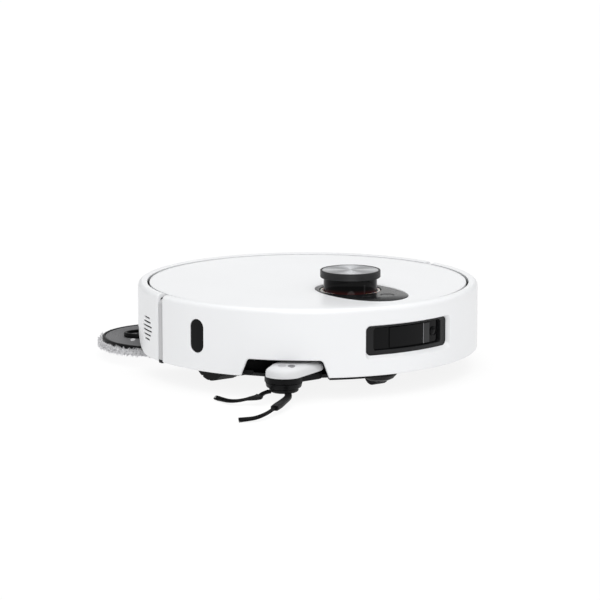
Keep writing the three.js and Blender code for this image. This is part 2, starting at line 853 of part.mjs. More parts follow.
function mop(name, at, shaftTop, firstLobe) {
  const pad = turned(
    [
      [0, PAD_BOTTOM],
      [PAD_R - 2.5, PAD_BOTTOM],
      [PAD_R, PAD_BOTTOM + 2.2],
      [PAD_R - 1.5, PLATE_BOTTOM - SEAT_GAP],
      [0, PLATE_BOTTOM - SEAT_GAP],
    ],
    44,
    at,
  );
  piece(`${name}_mop_pad`, pad, 0xcfcfd2, 0.95);
  const plate = turned(
    [
      [0, PLATE_BOTTOM],
      [PLATE_R, PLATE_BOTTOM],
      [PLATE_R, PLATE_TOP - 0.5],
      [PLATE_R - 0.5, PLATE_TOP],
      [0, PLATE_TOP],
    ],
    44,
    at,
  );
  piece(`${name}_mop_plate`, plate, GREY, 0.6);
  const holder = join(
    prism(lobes(at, firstLobe), PLATE_TOP + SEAT_GAP, HOLDER_TOP),
    rod(at, 4.8, 26, shaftTop, 16),
  );
  piece(`${name}_mop_holder`, holder, BLACK, 0.5);
}

function mops() {
  const out = mopOut();
  const home = mopHome(1);
  mop("right", out, 35.5, 155);
  mop("left", home, 73, 40);
  const arm = cut(
    prism(link(out, 17, MOP_PIVOT, 14), 28.4, 36.6),
    rod(out, 5.2, 0, 60, 16),
    rod(MOP_PIVOT, 8.3, 0, 60, 20),
  );
  piece("right_mop_arm", arm, BLACK, 0.5);
  const post = join(rod(MOP_PIVOT, 8, 27.1, 76, 20), rod(MOP_PIVOT, 10.5, 27.1, 28.1, 20));
  piece("right_lift_post", post, STEEL, 0.35, 1);
  piece("left_lift_sleeve", ring(home, 8.5, 5.2, 27.3, 75, 20), STEEL, 0.35, 1);
  const motor = cut(rod(home, 17, 41.3, 70, 24), rod(home, 8.9, 30, 80, 20));
  piece("left_mop_motor", motor, DARK, 0.5);
}

// ---------- suction rollers ----------
// Six straight vanes on a core, seen from the end.
function rollerOutline(turn) {
  const vanes = 6;
  const points = [];
  for (let i = 0; i < vanes; i++) {
    for (const [part, r] of [
      [-0.09, 11],
      [-0.05, ROLLER_R],
      [0.05, ROLLER_R],
      [0.09, 11],
      [0.5, 10.4],
    ]) {
      const angle = ((i + part) / vanes) * 2 * Math.PI + turn;
      points.push([r * Math.cos(angle), r * Math.sin(angle)]);
    }
  }
  return points;
}

function rollers() {
  const names = ["front_roller", "rear_roller"];
  const half = 77;
  names.forEach((name, i) => {
    const body = new THREE.ExtrudeGeometry(polygon(rollerOutline(i * (Math.PI / 6))), {
      depth: 2 * half,
      bevelEnabled: false,
    });
    body.rotateY(Math.PI / 2);
    body.translate(-half, ROLLER_Y[i], ROLLER_Z);
    const shaft = rodX([ROLLER_Y[i], ROLLER_Z], 3, -79.6, 79.6, 12);
    piece(name, join(solid(body), shaft), i ? DARK : GREY, 0.6);
  });
  const housing = cut(
    box([-83.5, 83.5], [-60.5, 10.7], [13.8, 36.5]),
    box([-80.4, 80.4], [-57.8, 8], [10, 34]),
    box([-22, 22], [-44, -6], [30, 40]),
  );
  piece("roller_housing", housing, BLACK, 0.6);
  const guard = cut(
    box([-84, 84], [-61, 11], [8, 10.2]),
    box([-78, 78], [-57.4, 7.6], [0, 20]),
  );
  piece("roller_guard", guard, DARK, 0.55);
}

// ---------- wheels ----------
const SUSPENSION = { y: -34, z: 44 };

function driveWheels() {
  const centre = [WHEEL_Y, WHEEL_R];
  for (const side of [-1, 1]) {
    const name = side < 0 ? "right" : "left";
    const span = (a, b) => [Math.min(side * a, side * b), Math.max(side * a, side * b)];
    const lie = (r, a, b, sides) => rodX(centre, r, ...span(a, b), sides);
    const blocks = 16;
    const grooves = Array.from({ length: blocks }, (_, i) => {
      const turn = (i / blocks) * 2 * Math.PI;
      const groove = new THREE.BoxGeometry(WHEEL_OUT - WHEEL_IN + 2, 2.4, 2.6);
      groove.translate(0, 0, WHEEL_R);
      groove.rotateX(turn);
      groove.translate((side * (WHEEL_IN + WHEEL_OUT)) / 2, ...centre);
      return solid(groove);
    });
    const tyre = cut(
      lie(WHEEL_R, WHEEL_IN, WHEEL_OUT, 48),
      lie(23.3, WHEEL_IN - 2, WHEEL_OUT + 2, 28),
      ...grooves,
    );
    piece(`${name}_tyre`, tyre, BLACK, 0.85);
    const hub = cut(
      join(lie(23, WHEEL_IN, WHEEL_OUT - 1.5, 28), lie(4, WHEEL_IN - 8, WHEEL_IN + 2, 16)),
      lie(16, WHEEL_OUT - 6, WHEEL_OUT + 2, 24),
    );
    piece(`${name}_wheel_hub`, hub, DARK, 0.5);
    const gearbox = cut(
      join(
        box(span(87, 103.4), [-26, 12], [22, 50]),
        rodX([SUSPENSION.y, SUSPENSION.z], 9, ...span(87, 103.4), 24),
        box(span(87, 103.4), [-34, -20], [36, 53]),
      ),
      lie(4.4, WHEEL_IN - 9, WHEEL_IN + 2, 20),
    );
    piece(`${name}_gearbox`, gearbox, DARK, 0.5);
  }
}

function caster() {
  const at = [0, CASTER_Y];
  const wheelY = CASTER_Y + 4;
  const wheelR = 12;
  const half = 7;
  const dome = turned(
    [
      [0, 4],
      [9, 4.6],
      [15, 7.5],
      [18.6, 11.6],
      [CASTER_R, 15],
      [CASTER_R, 26],
      [0, 26],
    ],
    28,
    at,
  );
  const fork = cut(
    join(dome, rod(at, 5, 25.5, 34, 20)),
    box([-half - 0.6, half + 0.6], [wheelY - 13.5, wheelY + 13.5], [-2, wheelR + 12.6]),
    rodX([wheelY, wheelR], 2.6, -12, 12, 12),
  );
  piece("caster_fork", fork, BLACK, 0.45);
  const wheel = join(
    rodX([wheelY, wheelR], wheelR, -half, half, 28),
    rodX([wheelY, wheelR], 2.2, -11, 11, 12),
  );
  piece("caster_wheel", wheel, DARK, 0.6);
}

// ---------- inside the body ----------
function insides() {
  const fanAt = [-74, -78];
  const shell = cut(
    rod(fanAt, 30, 42, 76, 24),
    rod(fanAt, 28, 44, 74, 24),
    rod(fanAt, 12, 70, 80, 20),
    box([-74, -30], [-70, -58], [46, 60]),
  );
  piece("fan_housing", shell, DARK, 0.5);
  const blades = Array.from({ length: 8 }, (_, i) => {
    const blade = new THREE.BoxGeometry(18, 1.4, 10);
    blade.translate(15, 0, 0);
    blade.rotateZ((i / 8) * 2 * Math.PI);
    blade.translate(...fanAt, 57);
    return solid(blade);
  });
  const disc = rod(fanAt, 25, 50, 52.6, 24);
  piece("fan_impeller", join(disc, rod(fanAt, 8, 50, 62, 16), ...blades), GREY, 0.5);
  const bin = cut(
    box([-52, 52], [16, 112], [42, 79]),
    box([-50, 50], [18, 110], [44, 90]),
    box([-20, 20], [10, 20], [48, 62]),
  );
  piece("dust_box", bin, 0x8d9096, 0.2);
  piece("dust_filter", box([-44, 44], [97, 108], [45, 76]), 0xe8e8e4, 0.9);
  piece("water_tank", box([-18, 48], [118, 146], [41.6, 79]), 0x9aa3ab, 0.2);
  piece("battery_pack", box([36, 104], [-113, -62], [23, 57]), DARK, 0.5);
  piece("main_board", box([36, 106], [-112, -56], [60, 61.8]), 0x1d5a3a, 0.5);
}

outerShells();
frontWindow();
frame();
turret();
sideBrushArm();
sideBrush();
mops();
rollers();
driveWheels();
caster();
insides();

// The part's origin is the middle of the floor under the whole object.
const bounds = new THREE.Box3().setFromObject(group);
const centre = bounds.getCenter(new THREE.Vector3());
group.position.set(-centre.x, -centre.y, -bounds.min.z);

export default group;
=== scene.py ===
import json
import math
import random

import bmesh
import bpy
from mathutils import Matrix, Vector


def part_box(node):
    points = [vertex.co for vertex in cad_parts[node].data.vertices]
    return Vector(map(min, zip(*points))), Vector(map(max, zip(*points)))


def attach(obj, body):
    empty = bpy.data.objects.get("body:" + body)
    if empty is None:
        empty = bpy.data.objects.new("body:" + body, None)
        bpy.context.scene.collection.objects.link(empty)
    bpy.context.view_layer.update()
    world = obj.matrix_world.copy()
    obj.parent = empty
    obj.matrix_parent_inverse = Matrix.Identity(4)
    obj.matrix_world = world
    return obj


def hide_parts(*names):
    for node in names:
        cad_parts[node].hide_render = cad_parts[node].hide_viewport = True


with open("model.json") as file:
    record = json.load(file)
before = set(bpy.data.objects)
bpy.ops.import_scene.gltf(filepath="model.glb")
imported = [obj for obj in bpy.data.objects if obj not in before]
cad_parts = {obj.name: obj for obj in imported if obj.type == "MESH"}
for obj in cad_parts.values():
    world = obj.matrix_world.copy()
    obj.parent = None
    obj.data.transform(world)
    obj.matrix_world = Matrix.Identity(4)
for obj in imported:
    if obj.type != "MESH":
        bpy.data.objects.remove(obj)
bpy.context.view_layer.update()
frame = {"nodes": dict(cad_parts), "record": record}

LID_LOW, LID_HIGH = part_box("top_lid")
AXIS = (LID_LOW + LID_HIGH) / 2
SLOTS = {row["node"]: row["material_slot"] for row in frame["record"]["subparts"]}
sin, cos, rad = math.sin, math.cos, math.radians


# ---------- geometry helpers ----------
def at(x, y, z):
    return Vector((AXIS.x + x / 1000, AXIS.y + y / 1000, z / 1000))


def middle(node):
    """Centre of a CAD node, as x and y from the body's axis."""
    low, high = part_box(node)
    centre = ((low + high) / 2 - AXIS) * 1000
    return centre.x, centre.y


def radius_of(node):
    low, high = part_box(node)
    return (high.x - low.x) * 500


def span(node):
    """Lowest and highest z of a CAD node."""
    low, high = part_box(node)
    return low.z * 1000, high.z * 1000


def polar(th, r):
    return -r * sin(rad(th)), -r * cos(rad(th))


def spread(first, last, steps):
    return [first + (last - first) * i / steps for i in range(steps + 1)]


def arc(cx, cz, r, first, last, steps):
    """Points of a circular arc, angles in degrees."""
    return [(cx + r * cos(rad(a)), cz + r * sin(rad(a))) for a in spread(first, last, steps)]


def bezier(*points, steps=8):
    """Points of a cubic curve in the plane, without its last one."""
    out = []
    for i in range(steps):
        t = i / steps
        weights = ((1 - t) ** 3, 3 * t * (1 - t) ** 2, 3 * t * t * (1 - t), t**3)
        out.append(tuple(sum(w * p[k] for w, p in zip(weights, points)) for k in (0, 1)))
    return out


def smooth(data, angle=32):
    data.shade_smooth()
    data.set_sharp_from_angle(angle=rad(angle))


def mesh_object(name, verts, faces, angle=32):
    data = bpy.data.meshes.new(name)
    data.from_pydata([at(*v) for v in verts], [], faces)
    work = bmesh.new()
    work.from_mesh(data)
    bmesh.ops.remove_doubles(work, verts=work.verts, dist=1e-7)
    bmesh.ops.recalc_face_normals(work, faces=work.faces)
    work.to_mesh(data)
    work.free()
    smooth(data, angle)
    obj = bpy.data.objects.new(name, data)
    bpy.context.scene.collection.objects.link(obj)
    return obj


def lathe(profile, steps=128, centre=(0, 0)):
    """A full turn of [radius, z] points; the profile is closed or starts and ends on the axis."""
    verts, faces = [], []
    count = len(profile)
    for i in range(steps):
        turn = 2 * math.pi * i / steps
        for r, z in profile:
            verts.append((centre[0] + r * cos(turn), centre[1] + r * sin(turn), z))
    for i in range(steps):
        here, there = i * count, (i + 1) % steps * count
        for j in range(count):
            k = (j + 1) % count
            if profile[j][0] or profile[k][0]:
                faces.append((here + j, here + k, there + k, there + j))
    return verts, clean(verts, faces)


def clean(verts, faces):
    """Leaves out corners that coincide, so that fans at the axis become triangles."""
    kept = []
    for face in faces:
        corners = []
        for v in face:
            if not any((Vector(verts[v]) - Vector(verts[w])).length < 1e-6 for w in corners):
                corners.append(v)
        if len(corners) > 2:
            kept.append(corners)
    return kept


def stations(sections):
    """A closed solid through closed sections that have the same number of points."""
    count = len(sections[0])
    verts = [p for section in sections for p in section]
    faces = []
    for i in range(len(sections) - 1):
        for j in range(count):
            k = (j + 1) % count
            a, b = i * count, (i + 1) * count
            faces.append((a + j, a + k, b + k, b + j))
    faces.append(tuple(range(count)))
    faces.append(tuple(range(len(verts) - count, len(verts))))
    return verts, faces


def dense(outline, step=1.5):
    points = []
    for i, (x, z) in enumerate(outline):
        nx, nz = outline[(i + 1) % len(outline)]
        parts = max(1, round(math.hypot(nx - x, nz - z) / step))
        points += [(x + (nx - x) * k / parts, z + (nz - z) * k / parts) for k in range(parts)]
    return points


def grown(outline, by):
    """The outline, counterclockwise, moved outwards."""
    if not by:
        return list(outline)
    points = []
    for i, here in enumerate(outline):
        before, after = Vector(outline[i - 1]), Vector(outline[(i + 1) % len(outline)])
        first = (Vector(here) - before).normalized()
        second = (after - Vector(here)).normalized()
        normal = Vector((first.y + second.y, -first.x - second.x))
        normal.normalize()
        lean = max(0.5, normal.dot(Vector((first.y, -first.x))))
        points.append((here[0] + normal.x * by / lean, here[1] + normal.y * by / lean))
    return points


def stretched(shape, x, y, angle, length, width):
    """A shape made round the body's axis, stretched, turned and moved to x, y."""
    verts, faces = shape
    moved = Matrix.Translation((x, y, 0)) @ Matrix.Rotation(angle, 4, "Z")
    moved = moved @ Matrix.Diagonal((length, width, 1, 1))
    return [tuple(moved @ Vector(v)) for v in verts], faces


def round_rect(cx, cz, width, height, r, steps=7):
    points = []
    for sx, sz, start in [(1, -1, -90), (1, 1, 0), (-1, 1, 90), (-1, -1, 180)]:
        x, z = cx + sx * (width / 2 - r), cz + sz * (height / 2 - r)
        points += arc(x, z, r, start, start + 90, steps)
    return points


def on_wall(outline, th, r, grow=0.0):
    """A flat outline of (sideways, height) points laid on the round wall."""
    points = []
    for x, z in grown(outline, grow):
        points.append((*polar(th - math.degrees(math.asin(x / BODY_R)), r), z))
    return points


def wrapped(outline, th, layers):
    """A closed solid that follows the round wall, each layer (radius, how far it is grown)."""
    return stations([on_wall(outline, th, r, grow) for r, grow in layers])


def upright(outline, layers):
    """A closed solid over a flat outline, each layer (z, how far the outline is grown there)."""
    return stations([[(x, y, z) for x, y in grown(outline, grow)] for z, grow in layers])


def cut(obj, *tools, operation="DIFFERENCE"):
    """Takes solids, given as (verts, faces), away from a mesh object."""
    for i, tool in enumerate(tools):
        cutter = mesh_object(f"cutter_{i}", *tool)
        change = obj.modifiers.new("cut", "BOOLEAN")
        change.operation = operation
        change.solver = "EXACT"
        change.object = cutter
        graph = bpy.context.evaluated_depsgraph_get()
        data = bpy.data.meshes.new_from_object(obj.evaluated_get(graph))
        obj.modifiers.clear()
        obj.data = data
        bpy.data.objects.remove(cutter)
    smooth(obj.data)


def merge(obj, tool):
    """Joins a solid, given as (verts, faces), to a mesh object."""
    cut(obj, tool, operation="UNION")


def true_wall(obj):
    """Exact round shading on the cylindrical wall, whatever faces a cut has left."""
    data = obj.data
    corners = [tuple(c.vector) for c in data.corner_normals]
    for face in data.polygons:
        points = [(data.vertices[v].co - AXIS) * 1000 for v in face.vertices]
        if all(abs(math.hypot(p.x, p.y) - BODY_R) < 0.03 for p in points):
            for loop, p in zip(face.loop_indices, points):
                corners[loop] = tuple(Vector((p.x, p.y, 0)).normalized())
    data.normals_split_custom_set(corners)


def place(obj, body, slot, material, *nodes):
    """Finish, material slot (not used), body and the CAD nodes that the piece stands for."""
    obj.data.materials.clear()
    obj.data.materials.append(material)
    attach(obj, body)
    if nodes:
        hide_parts(*nodes)


def solid(name, shape, body, slot, *nodes, material=None):
    obj = mesh_object(name, *shape)
    place(obj, body, slot, material or MATERIALS[slot], *nodes)


def joined(*shapes):
    verts, faces = [], []
    for more_verts, more_faces in shapes:
        start = len(verts)
        verts += more_verts
        faces += [[v + start for v in face] for face in more_faces]
    return verts, faces


# ---------- materials ----------
class Shader:
    """A procedural material: colour, roughness and relief all come from nodes."""

    def __init__(self, name, **inputs):
        self.material = bpy.data.materials.new(name)
        self.material.use_nodes = True
        self.tree = self.material.node_tree
        self.surface = self.tree.nodes["Principled BSDF"]
        for key, value in inputs.items():
            self.surface.inputs[key.replace("_", " ")].default_value = value
        self.coordinates = self.tree.nodes.new("ShaderNodeTexCoord").outputs["Object"]
        self.relief = None

    def node(self, kind, **settings):
        made = self.tree.nodes.new("ShaderNode" + kind)
        for key, value in settings.items():
            setattr(made, key, value)
        return made

    def link(self, source, target):
        self.tree.links.new(source, target)

    def sum(self, operation, first, second):
        """A Math node; either input is a socket or a number."""
        made = self.node("Math", operation=operation)
        for socket, value in zip(made.inputs, (first, second)):
            if isinstance(value, (int, float)):
                socket.default_value = value
            else:
                self.link(value, socket)
        return made.outputs[0]

    def noise(self, scale, detail=3.0):
        made = self.node("TexNoise")
        made.inputs["Scale"].default_value = scale
        made.inputs["Detail"].default_value = detail
        self.link(self.coordinates, made.inputs["Vector"])
        return made.outputs["Fac"]

    def radius(self, centre):
        """Distance in metres from an upright axis through a point."""
        offset = self.node("VectorMath", operation="SUBTRACT")
        offset.inputs[1].default_value = centre
        self.link(self.coordinates, offset.inputs[0])
        flat = self.node("VectorMath", operation="MULTIPLY")
        flat.inputs[1].default_value = (1, 1, 0)
        self.link(offset.outputs[0], flat.inputs[0])
        length = self.node("VectorMath", operation="LENGTH")
        self.link(flat.outputs[0], length.inputs[0])
        return length.outputs["Value"], flat.outputs[0]

    def paint(self, factor, *stops):
        """Base colour from a ramp, each stop (position, colour)."""
        made = self.node("ValToRGB")
        elements = made.color_ramp.elements
        while len(elements) < len(stops):
            elements.new(0.5)
        for element, (position, colour) in zip(elements, stops):
            element.position = position
            element.color = (*colour, 1)
        self.link(factor, made.inputs["Fac"])
        self.link(made.outputs["Color"], self.surface.inputs["Base Color"])

    def gloss(self, factor, low, high):
        made = self.node("MapRange")
        made.inputs["To Min"].default_value = low
        made.inputs["To Max"].default_value = high
        self.link(factor, made.inputs["Value"])
        self.link(made.outputs["Result"], self.surface.inputs["Roughness"])

    def bump(self, height, strength, distance):
        made = self.node("Bump")
        made.inputs["Strength"].default_value = strength
        made.inputs["Distance"].default_value = distance
        self.link(height, made.inputs["Height"])
        if self.relief:
            self.link(self.relief, made.inputs["Normal"])
        self.relief = made.outputs["Normal"]
        self.link(self.relief, self.surface.inputs["Normal"])


def shade(colour, by):
    return tuple(c * by for c in colour)


def moulded(name, colour, rough, tone=0.03, grain=900, relief=0.12, **inputs):
    """Moulded plastic or rubber: faint cloudy tone, uneven gloss and a fine surface grain."""
    made = Shader(name, **inputs)
    clouds = made.noise(9, 2)
    made.paint(clouds, (0.3, shade(colour, 1 - tone)), (0.7, shade(colour, 1 + tone)))
    made.gloss(made.noise(grain * 0.4, 3), rough * 0.88, rough * 1.12)
    made.bump(made.noise(grain, 4), relief, 0.0002)
    return made.material


def spun(name, node, colour):
    """Turned metal: fine rings round the piece's own axis, with long radial highlights."""
    low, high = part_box(node)
    made = Shader(name, Metallic=1.0, Roughness=0.36, Anisotropic=0.9)
    distance, offset = made.radius((low + high) / 2)
    grooves = made.node("TexNoise", noise_dimensions="1D")
    grooves.inputs["Scale"].default_value = 2600
    grooves.inputs["Detail"].default_value = 3
    made.link(distance, grooves.inputs["W"])
    rings = grooves.outputs["Fac"]
    made.paint(rings, (0.35, shade(colour, 0.82)), (0.65, shade(colour, 1.1)))
    made.bump(rings, 0.15, 0.0002)
    made.link(offset, made.surface.inputs["Tangent"])
    return made.material


def ringed(name, node, colour):
    """Matt plastic disc with fine moulded rings, as on the back of a mop pad's plate."""
    low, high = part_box(node)
    made = Shader(name)
    distance, _ = made.radius((low + high) / 2)
    wave = made.sum("SINE", made.sum("MULTIPLY", distance, 2 * math.pi / 0.0022), 0)
    tone = made.sum("MULTIPLY_ADD", wave, 0.22)
    tone.node.inputs[2].default_value = 0.5
    made.paint(tone, (0.25, shade(colour, 0.8)), (0.75, shade(colour, 1.12)))
    made.gloss(made.noise(300), 0.5, 0.64)
    made.bump(wave, 0.35, 0.0003)
    made.bump(made.noise(1200), 0.15, 0.0002)
    return made.material


def fibre(name, colour):
    """Soft microfibre: strands of slightly different tone, with a pale sheen."""
    made = Shader(name, Roughness=0.95, Sheen_Weight=0.35, Sheen_Roughness=0.5)
    strands = made.noise(420, 4)
    made.paint(strands, (0.3, shade(colour, 0.62)), (0.55, colour), (0.75, shade(colour, 1.12)))
    made.bump(made.noise(1500, 3), 0.4, 0.0006)
    return made.material


def glassy(name, colour, rough=0.05, **inputs):
    """Polished dark plastic window, with the slight waviness of a moulded sheet."""
    made = Shader(name, Specular_IOR_Level=0.12, **inputs)
    made.paint(made.noise(14, 2), (0.3, shade(colour, 0.8)), (0.7, shade(colour, 1.25)))
    made.gloss(made.noise(60, 2), rough * 0.7, rough * 1.4)
    made.bump(made.noise(45, 1), 0.02, 0.0006)
    return made.material


RED_FOOT = 0.004  # metres above the window's foot where the red has gone


def tinted(name, node):
    """Smoked window that turns dark red towards its foot."""
    low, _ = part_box(node)
    made = Shader(name, Specular_IOR_Level=0.12)
    parts = made.node("SeparateXYZ")
    made.link(made.coordinates, parts.inputs[0])
    height = made.node("MapRange")
    height.inputs["From Min"].default_value = low.z
    height.inputs["From Max"].default_value = low.z + RED_FOOT
    made.link(parts.outputs["Z"], height.inputs["Value"])
    made.paint(height.outputs["Result"], (0.0, (0.05, 0.004, 0.004)), (0.3, (0.02, 0.003, 0.003)),
               (1.0, (0.0016, 0.0016, 0.0018)))
    made.gloss(made.noise(40, 2), 0.05, 0.09)
    made.bump(made.noise(60, 1), 0.01, 0.0004)
    return made.material


MATERIALS = {
    "white_shell": moulded("white_plastic", (0.83, 0.838, 0.85), 0.34, 0.012, 1400, 0.05,
                           Coat_Weight=0.15, Coat_Roughness=0.2),
    "black_plastic": moulded("black_plastic", (0.0035, 0.0037, 0.0042), 0.42, 0.15, 1100, 0.25,
                             Specular_IOR_Level=0.13),
    "deck_black": moulded("satin_black_plastic", (0.008, 0.0083, 0.009), 0.26, 0.12, 1500, 0.08,
                          Specular_IOR_Level=0.25),
    "dark_window": glassy("smoked_window", (0.0025, 0.0026, 0.003)),
    "spun_aluminium": spun("spun_aluminium", "turret_cap_disc", (0.62, 0.63, 0.645)),
    "steel": moulded("bright_steel", (0.6, 0.6, 0.61), 0.26, 0.06, 700, 0.15, Metallic=1.0),
    "light_diffuser": moulded("milky_diffuser", (0.78, 0.745, 0.69), 0.4, 0.03, 900, 0.05,
                              Subsurface_Weight=0.15, Subsurface_Scale=0.002),
    "tyre_rubber": moulded("tyre_rubber", (0.01, 0.01, 0.0105), 0.72, 0.2, 800, 0.5,
                           Specular_IOR_Level=0.15),
    "brush_rubber": moulded("soft_rubber", (0.005, 0.005, 0.0054), 0.45, 0.2, 900, 0.3,
                            Specular_IOR_Level=0.15),
    "bristles": moulded("nylon_bristle", (0.004, 0.004, 0.0043), 0.45, 0.3, 1600, 0.2,
                        Specular_IOR_Level=0.12),
    "mop_fibre": fibre("microfibre", (0.72, 0.72, 0.735)),
    "mop_plate_grey": ringed("ringed_grey_plastic", "right_mop_plate", (0.16, 0.16, 0.165)),
    "clear_bin": moulded("smoke_clear_plastic", (0.2, 0.21, 0.23), 0.12, 0.06, 500, 0.04,
                         Transmission_Weight=0.5),
    "filter_paper": fibre("pleated_filter", (0.72, 0.72, 0.7)),
    "battery_case": moulded("battery_sleeve", (0.03, 0.03, 0.04), 0.35, 0.2, 600, 0.1),
    "circuit_board": moulded("circuit_board", (0.02, 0.12, 0.055), 0.35, 0.3, 500, 0.2),
    "grey_plastic": moulded("grey_plastic", (0.13, 0.13, 0.14), 0.45, 0.08, 900, 0.15),
}
LEFT_PLATE = ringed("ringed_grey_plastic_left", "left_mop_plate", (0.16, 0.16, 0.165))
# Mid grey: painted shade on the groove strips, standing for the shade in the groove between bumper
# and rear shell, and the real grey of the first arm mark's plug.
GROOVE_SHADE_AND_PLUG_GREY = moulded("groove_shade_and_plug_grey", (0.5, 0.5, 0.51), 0.42, 0.03, 900, 0.1)
ARM_WHITE = moulded("arm_cover_plastic", (0.68, 0.685, 0.695), 0.4, 0.02, 1400, 0.05)
MARK_GREY = moulded("mark_grey_plastic", (0.2, 0.2, 0.21), 0.4, 0.08, 900, 0.1)
DIVIDER = moulded("divider_plastic", (0.02, 0.0205, 0.022), 0.3, 0.1, 1200, 0.1,
                  Specular_IOR_Level=0.3)
CAP_BLACK = moulded("cap_plastic", (0.015, 0.0155, 0.0165), 0.4, 0.15, 1300, 0.18,
                    Specular_IOR_Level=0.35)
TURRET_GLASS = tinted("turret_smoked_window", "turret_window")


# ---------- outer shells ----------
BODY_R = 175
RIM_TOP = 90.5
RIM_ROUND = 5.5
WALL_BOTTOM = 21.8
FLANGE_R = 165.6
SEAM_TOP = 89  # top of the lid where it meets the flange
BUMPER_END = 92
SHELL_END = 95.3
WINDOW_TH = -1
WINDOW_LOW, WINDOW_HIGH, WINDOW_HALF = 38, 72.2, 53.3  # edge of the opening on the wall
BACK_LOW, BACK_HIGH, BACK_HALF, BACK_R = 41.5, 70.8, 51.5, 170.4  # where its lip ends
PILL_TH, PILL_LOW, PILL_HIGH, PILL_HALF = 74.6, 39.8, 73.6, 8.5
ARCH_START, ARCH_END, ARCH_TOP = 104, 117.7, 43
CUTOUT_TH = 43  # middle of the side brush cut-out
AIR_SLOTS_TH = 104.2
DECK_WAIST = -90  # where the deck is widest
BUTTON_R, BUTTON_HOLE_R = 6.5, 6.9


def shell_profile(low, shrink):
    """Section of the outer wall: lower lip, straight side, rounded top and flange."""
    inner, outer = BODY_R - 3 + shrink, BODY_R - shrink
    points = [(inner, low + 0.8)]
    points += arc(BODY_R - 1.5, low + 1.5, 1.5 - shrink, 200, 360, 7)
    points += [(outer, z) for z in spread(low + 6, RIM_TOP - RIM_ROUND - 4, 4)]
    points += arc(BODY_R - RIM_ROUND, RIM_TOP - RIM_ROUND, RIM_ROUND - shrink, 0, 76, 11)
    edge = FLANGE_R + shrink
    points += [(edge + 1, SEAM_TOP + 0.7 - shrink), (edge + 0.4, SEAM_TOP + 0.6 - shrink)]
    points += [(edge, SEAM_TOP + 0.4 - shrink), (edge, SEAM_TOP - 2.8 + shrink)]
    points += [(BODY_R - 5, SEAM_TOP - 3 + shrink), (inner, SEAM_TOP - 6)]
    return points


def wall_solid(thetas, low=lambda th: WALL_BOTTOM, soft=0.45):
    """The outer wall between the first and last angle, with softened ends."""
    step = math.degrees(soft / BODY_R)
    ends = [(thetas[0], soft), (thetas[0] + step * 0.3, soft * 0.3), (thetas[0] + step, 0)]
    inner = [(th, 0) for th in thetas[1:-1]]
    tail = [(thetas[-1] - step, 0), (thetas[-1] - step * 0.3, soft * 0.3), (thetas[-1], soft)]
    sections = []
    for th, shrink in ends + inner + tail:
        profile = shell_profile(low(th), shrink)
        sections.append([(*polar(th, r), z) for r, z in profile])
    return stations(sections)


def brush_cutout():
    top, r = 39.3, 4.5

    def side(foot, head):
        lean = math.degrees(math.atan2(top - WALL_BOTTOM, foot - head))
        edge = [(foot, 0), (foot, WALL_BOTTOM - 1)]
        return edge + arc(head - r * 0.35, top - r, r, 90 - lean, 90, 6)

    return dense(side(43.3, 35.2) + [(-x, z) for x, z in reversed(side(45.4, 36.6))])


def soft_rect(half, low, high, r):
    """Rectangle with round corners, always with the same number of points in the same places."""
    points = []
    turns = [(1, low + r, -90, 30), (1, high - r, 0, 70), (-1, high - r, 90, 30),
             (-1, low + r, 180, 70)]
    for sx, z, start, straight in turns:
        corner = arc(sx * (half - r), z, r, start, start + 90, 7)
        points += corner
        x1, z1 = corner[-1]
        if start == -90:
            x2, z2 = half, high - r
        elif start == 0:
            x2, z2 = r - half, high
        elif start == 90:
            x2, z2 = -half, low + r
        else:
            x2, z2 = half - r, low
        points += [(x1 + (x2 - x1) * i / straight, z1 + (z2 - z1) * i / straight)
                   for i in range(1, straight)]
    return points


def tapered(th, layers):
    """A closed solid that follows the round wall, through outlines at different radii."""
    return stations([on_wall(outline, th, r) for r, outline in layers])


def window_edge(share, grow=0.0):
    """The recess of the front window: share 0 at its lip's end, 1 on the outer wall."""
    low = BACK_LOW + (WINDOW_LOW - BACK_LOW) * share
    high = BACK_HIGH + (WINDOW_HIGH - BACK_HIGH) * share
    half = BACK_HALF + (WINDOW_HALF - BACK_HALF) * share
    return soft_rect(half + grow, low - grow, high + grow, 5 + grow)


def arch_low(th):
    """Lower edge of the rear shell, which rounds up to an arch over the mops."""
    th = min(th, 360 - th)
    if th <= ARCH_START:
        return WALL_BOTTOM
    if th >= ARCH_END:
        return ARCH_TOP
    share = (th - ARCH_START) / (ARCH_END - ARCH_START)
    return ARCH_TOP - (ARCH_TOP - WALL_BOTTOM) * math.sqrt(1 - share * share)


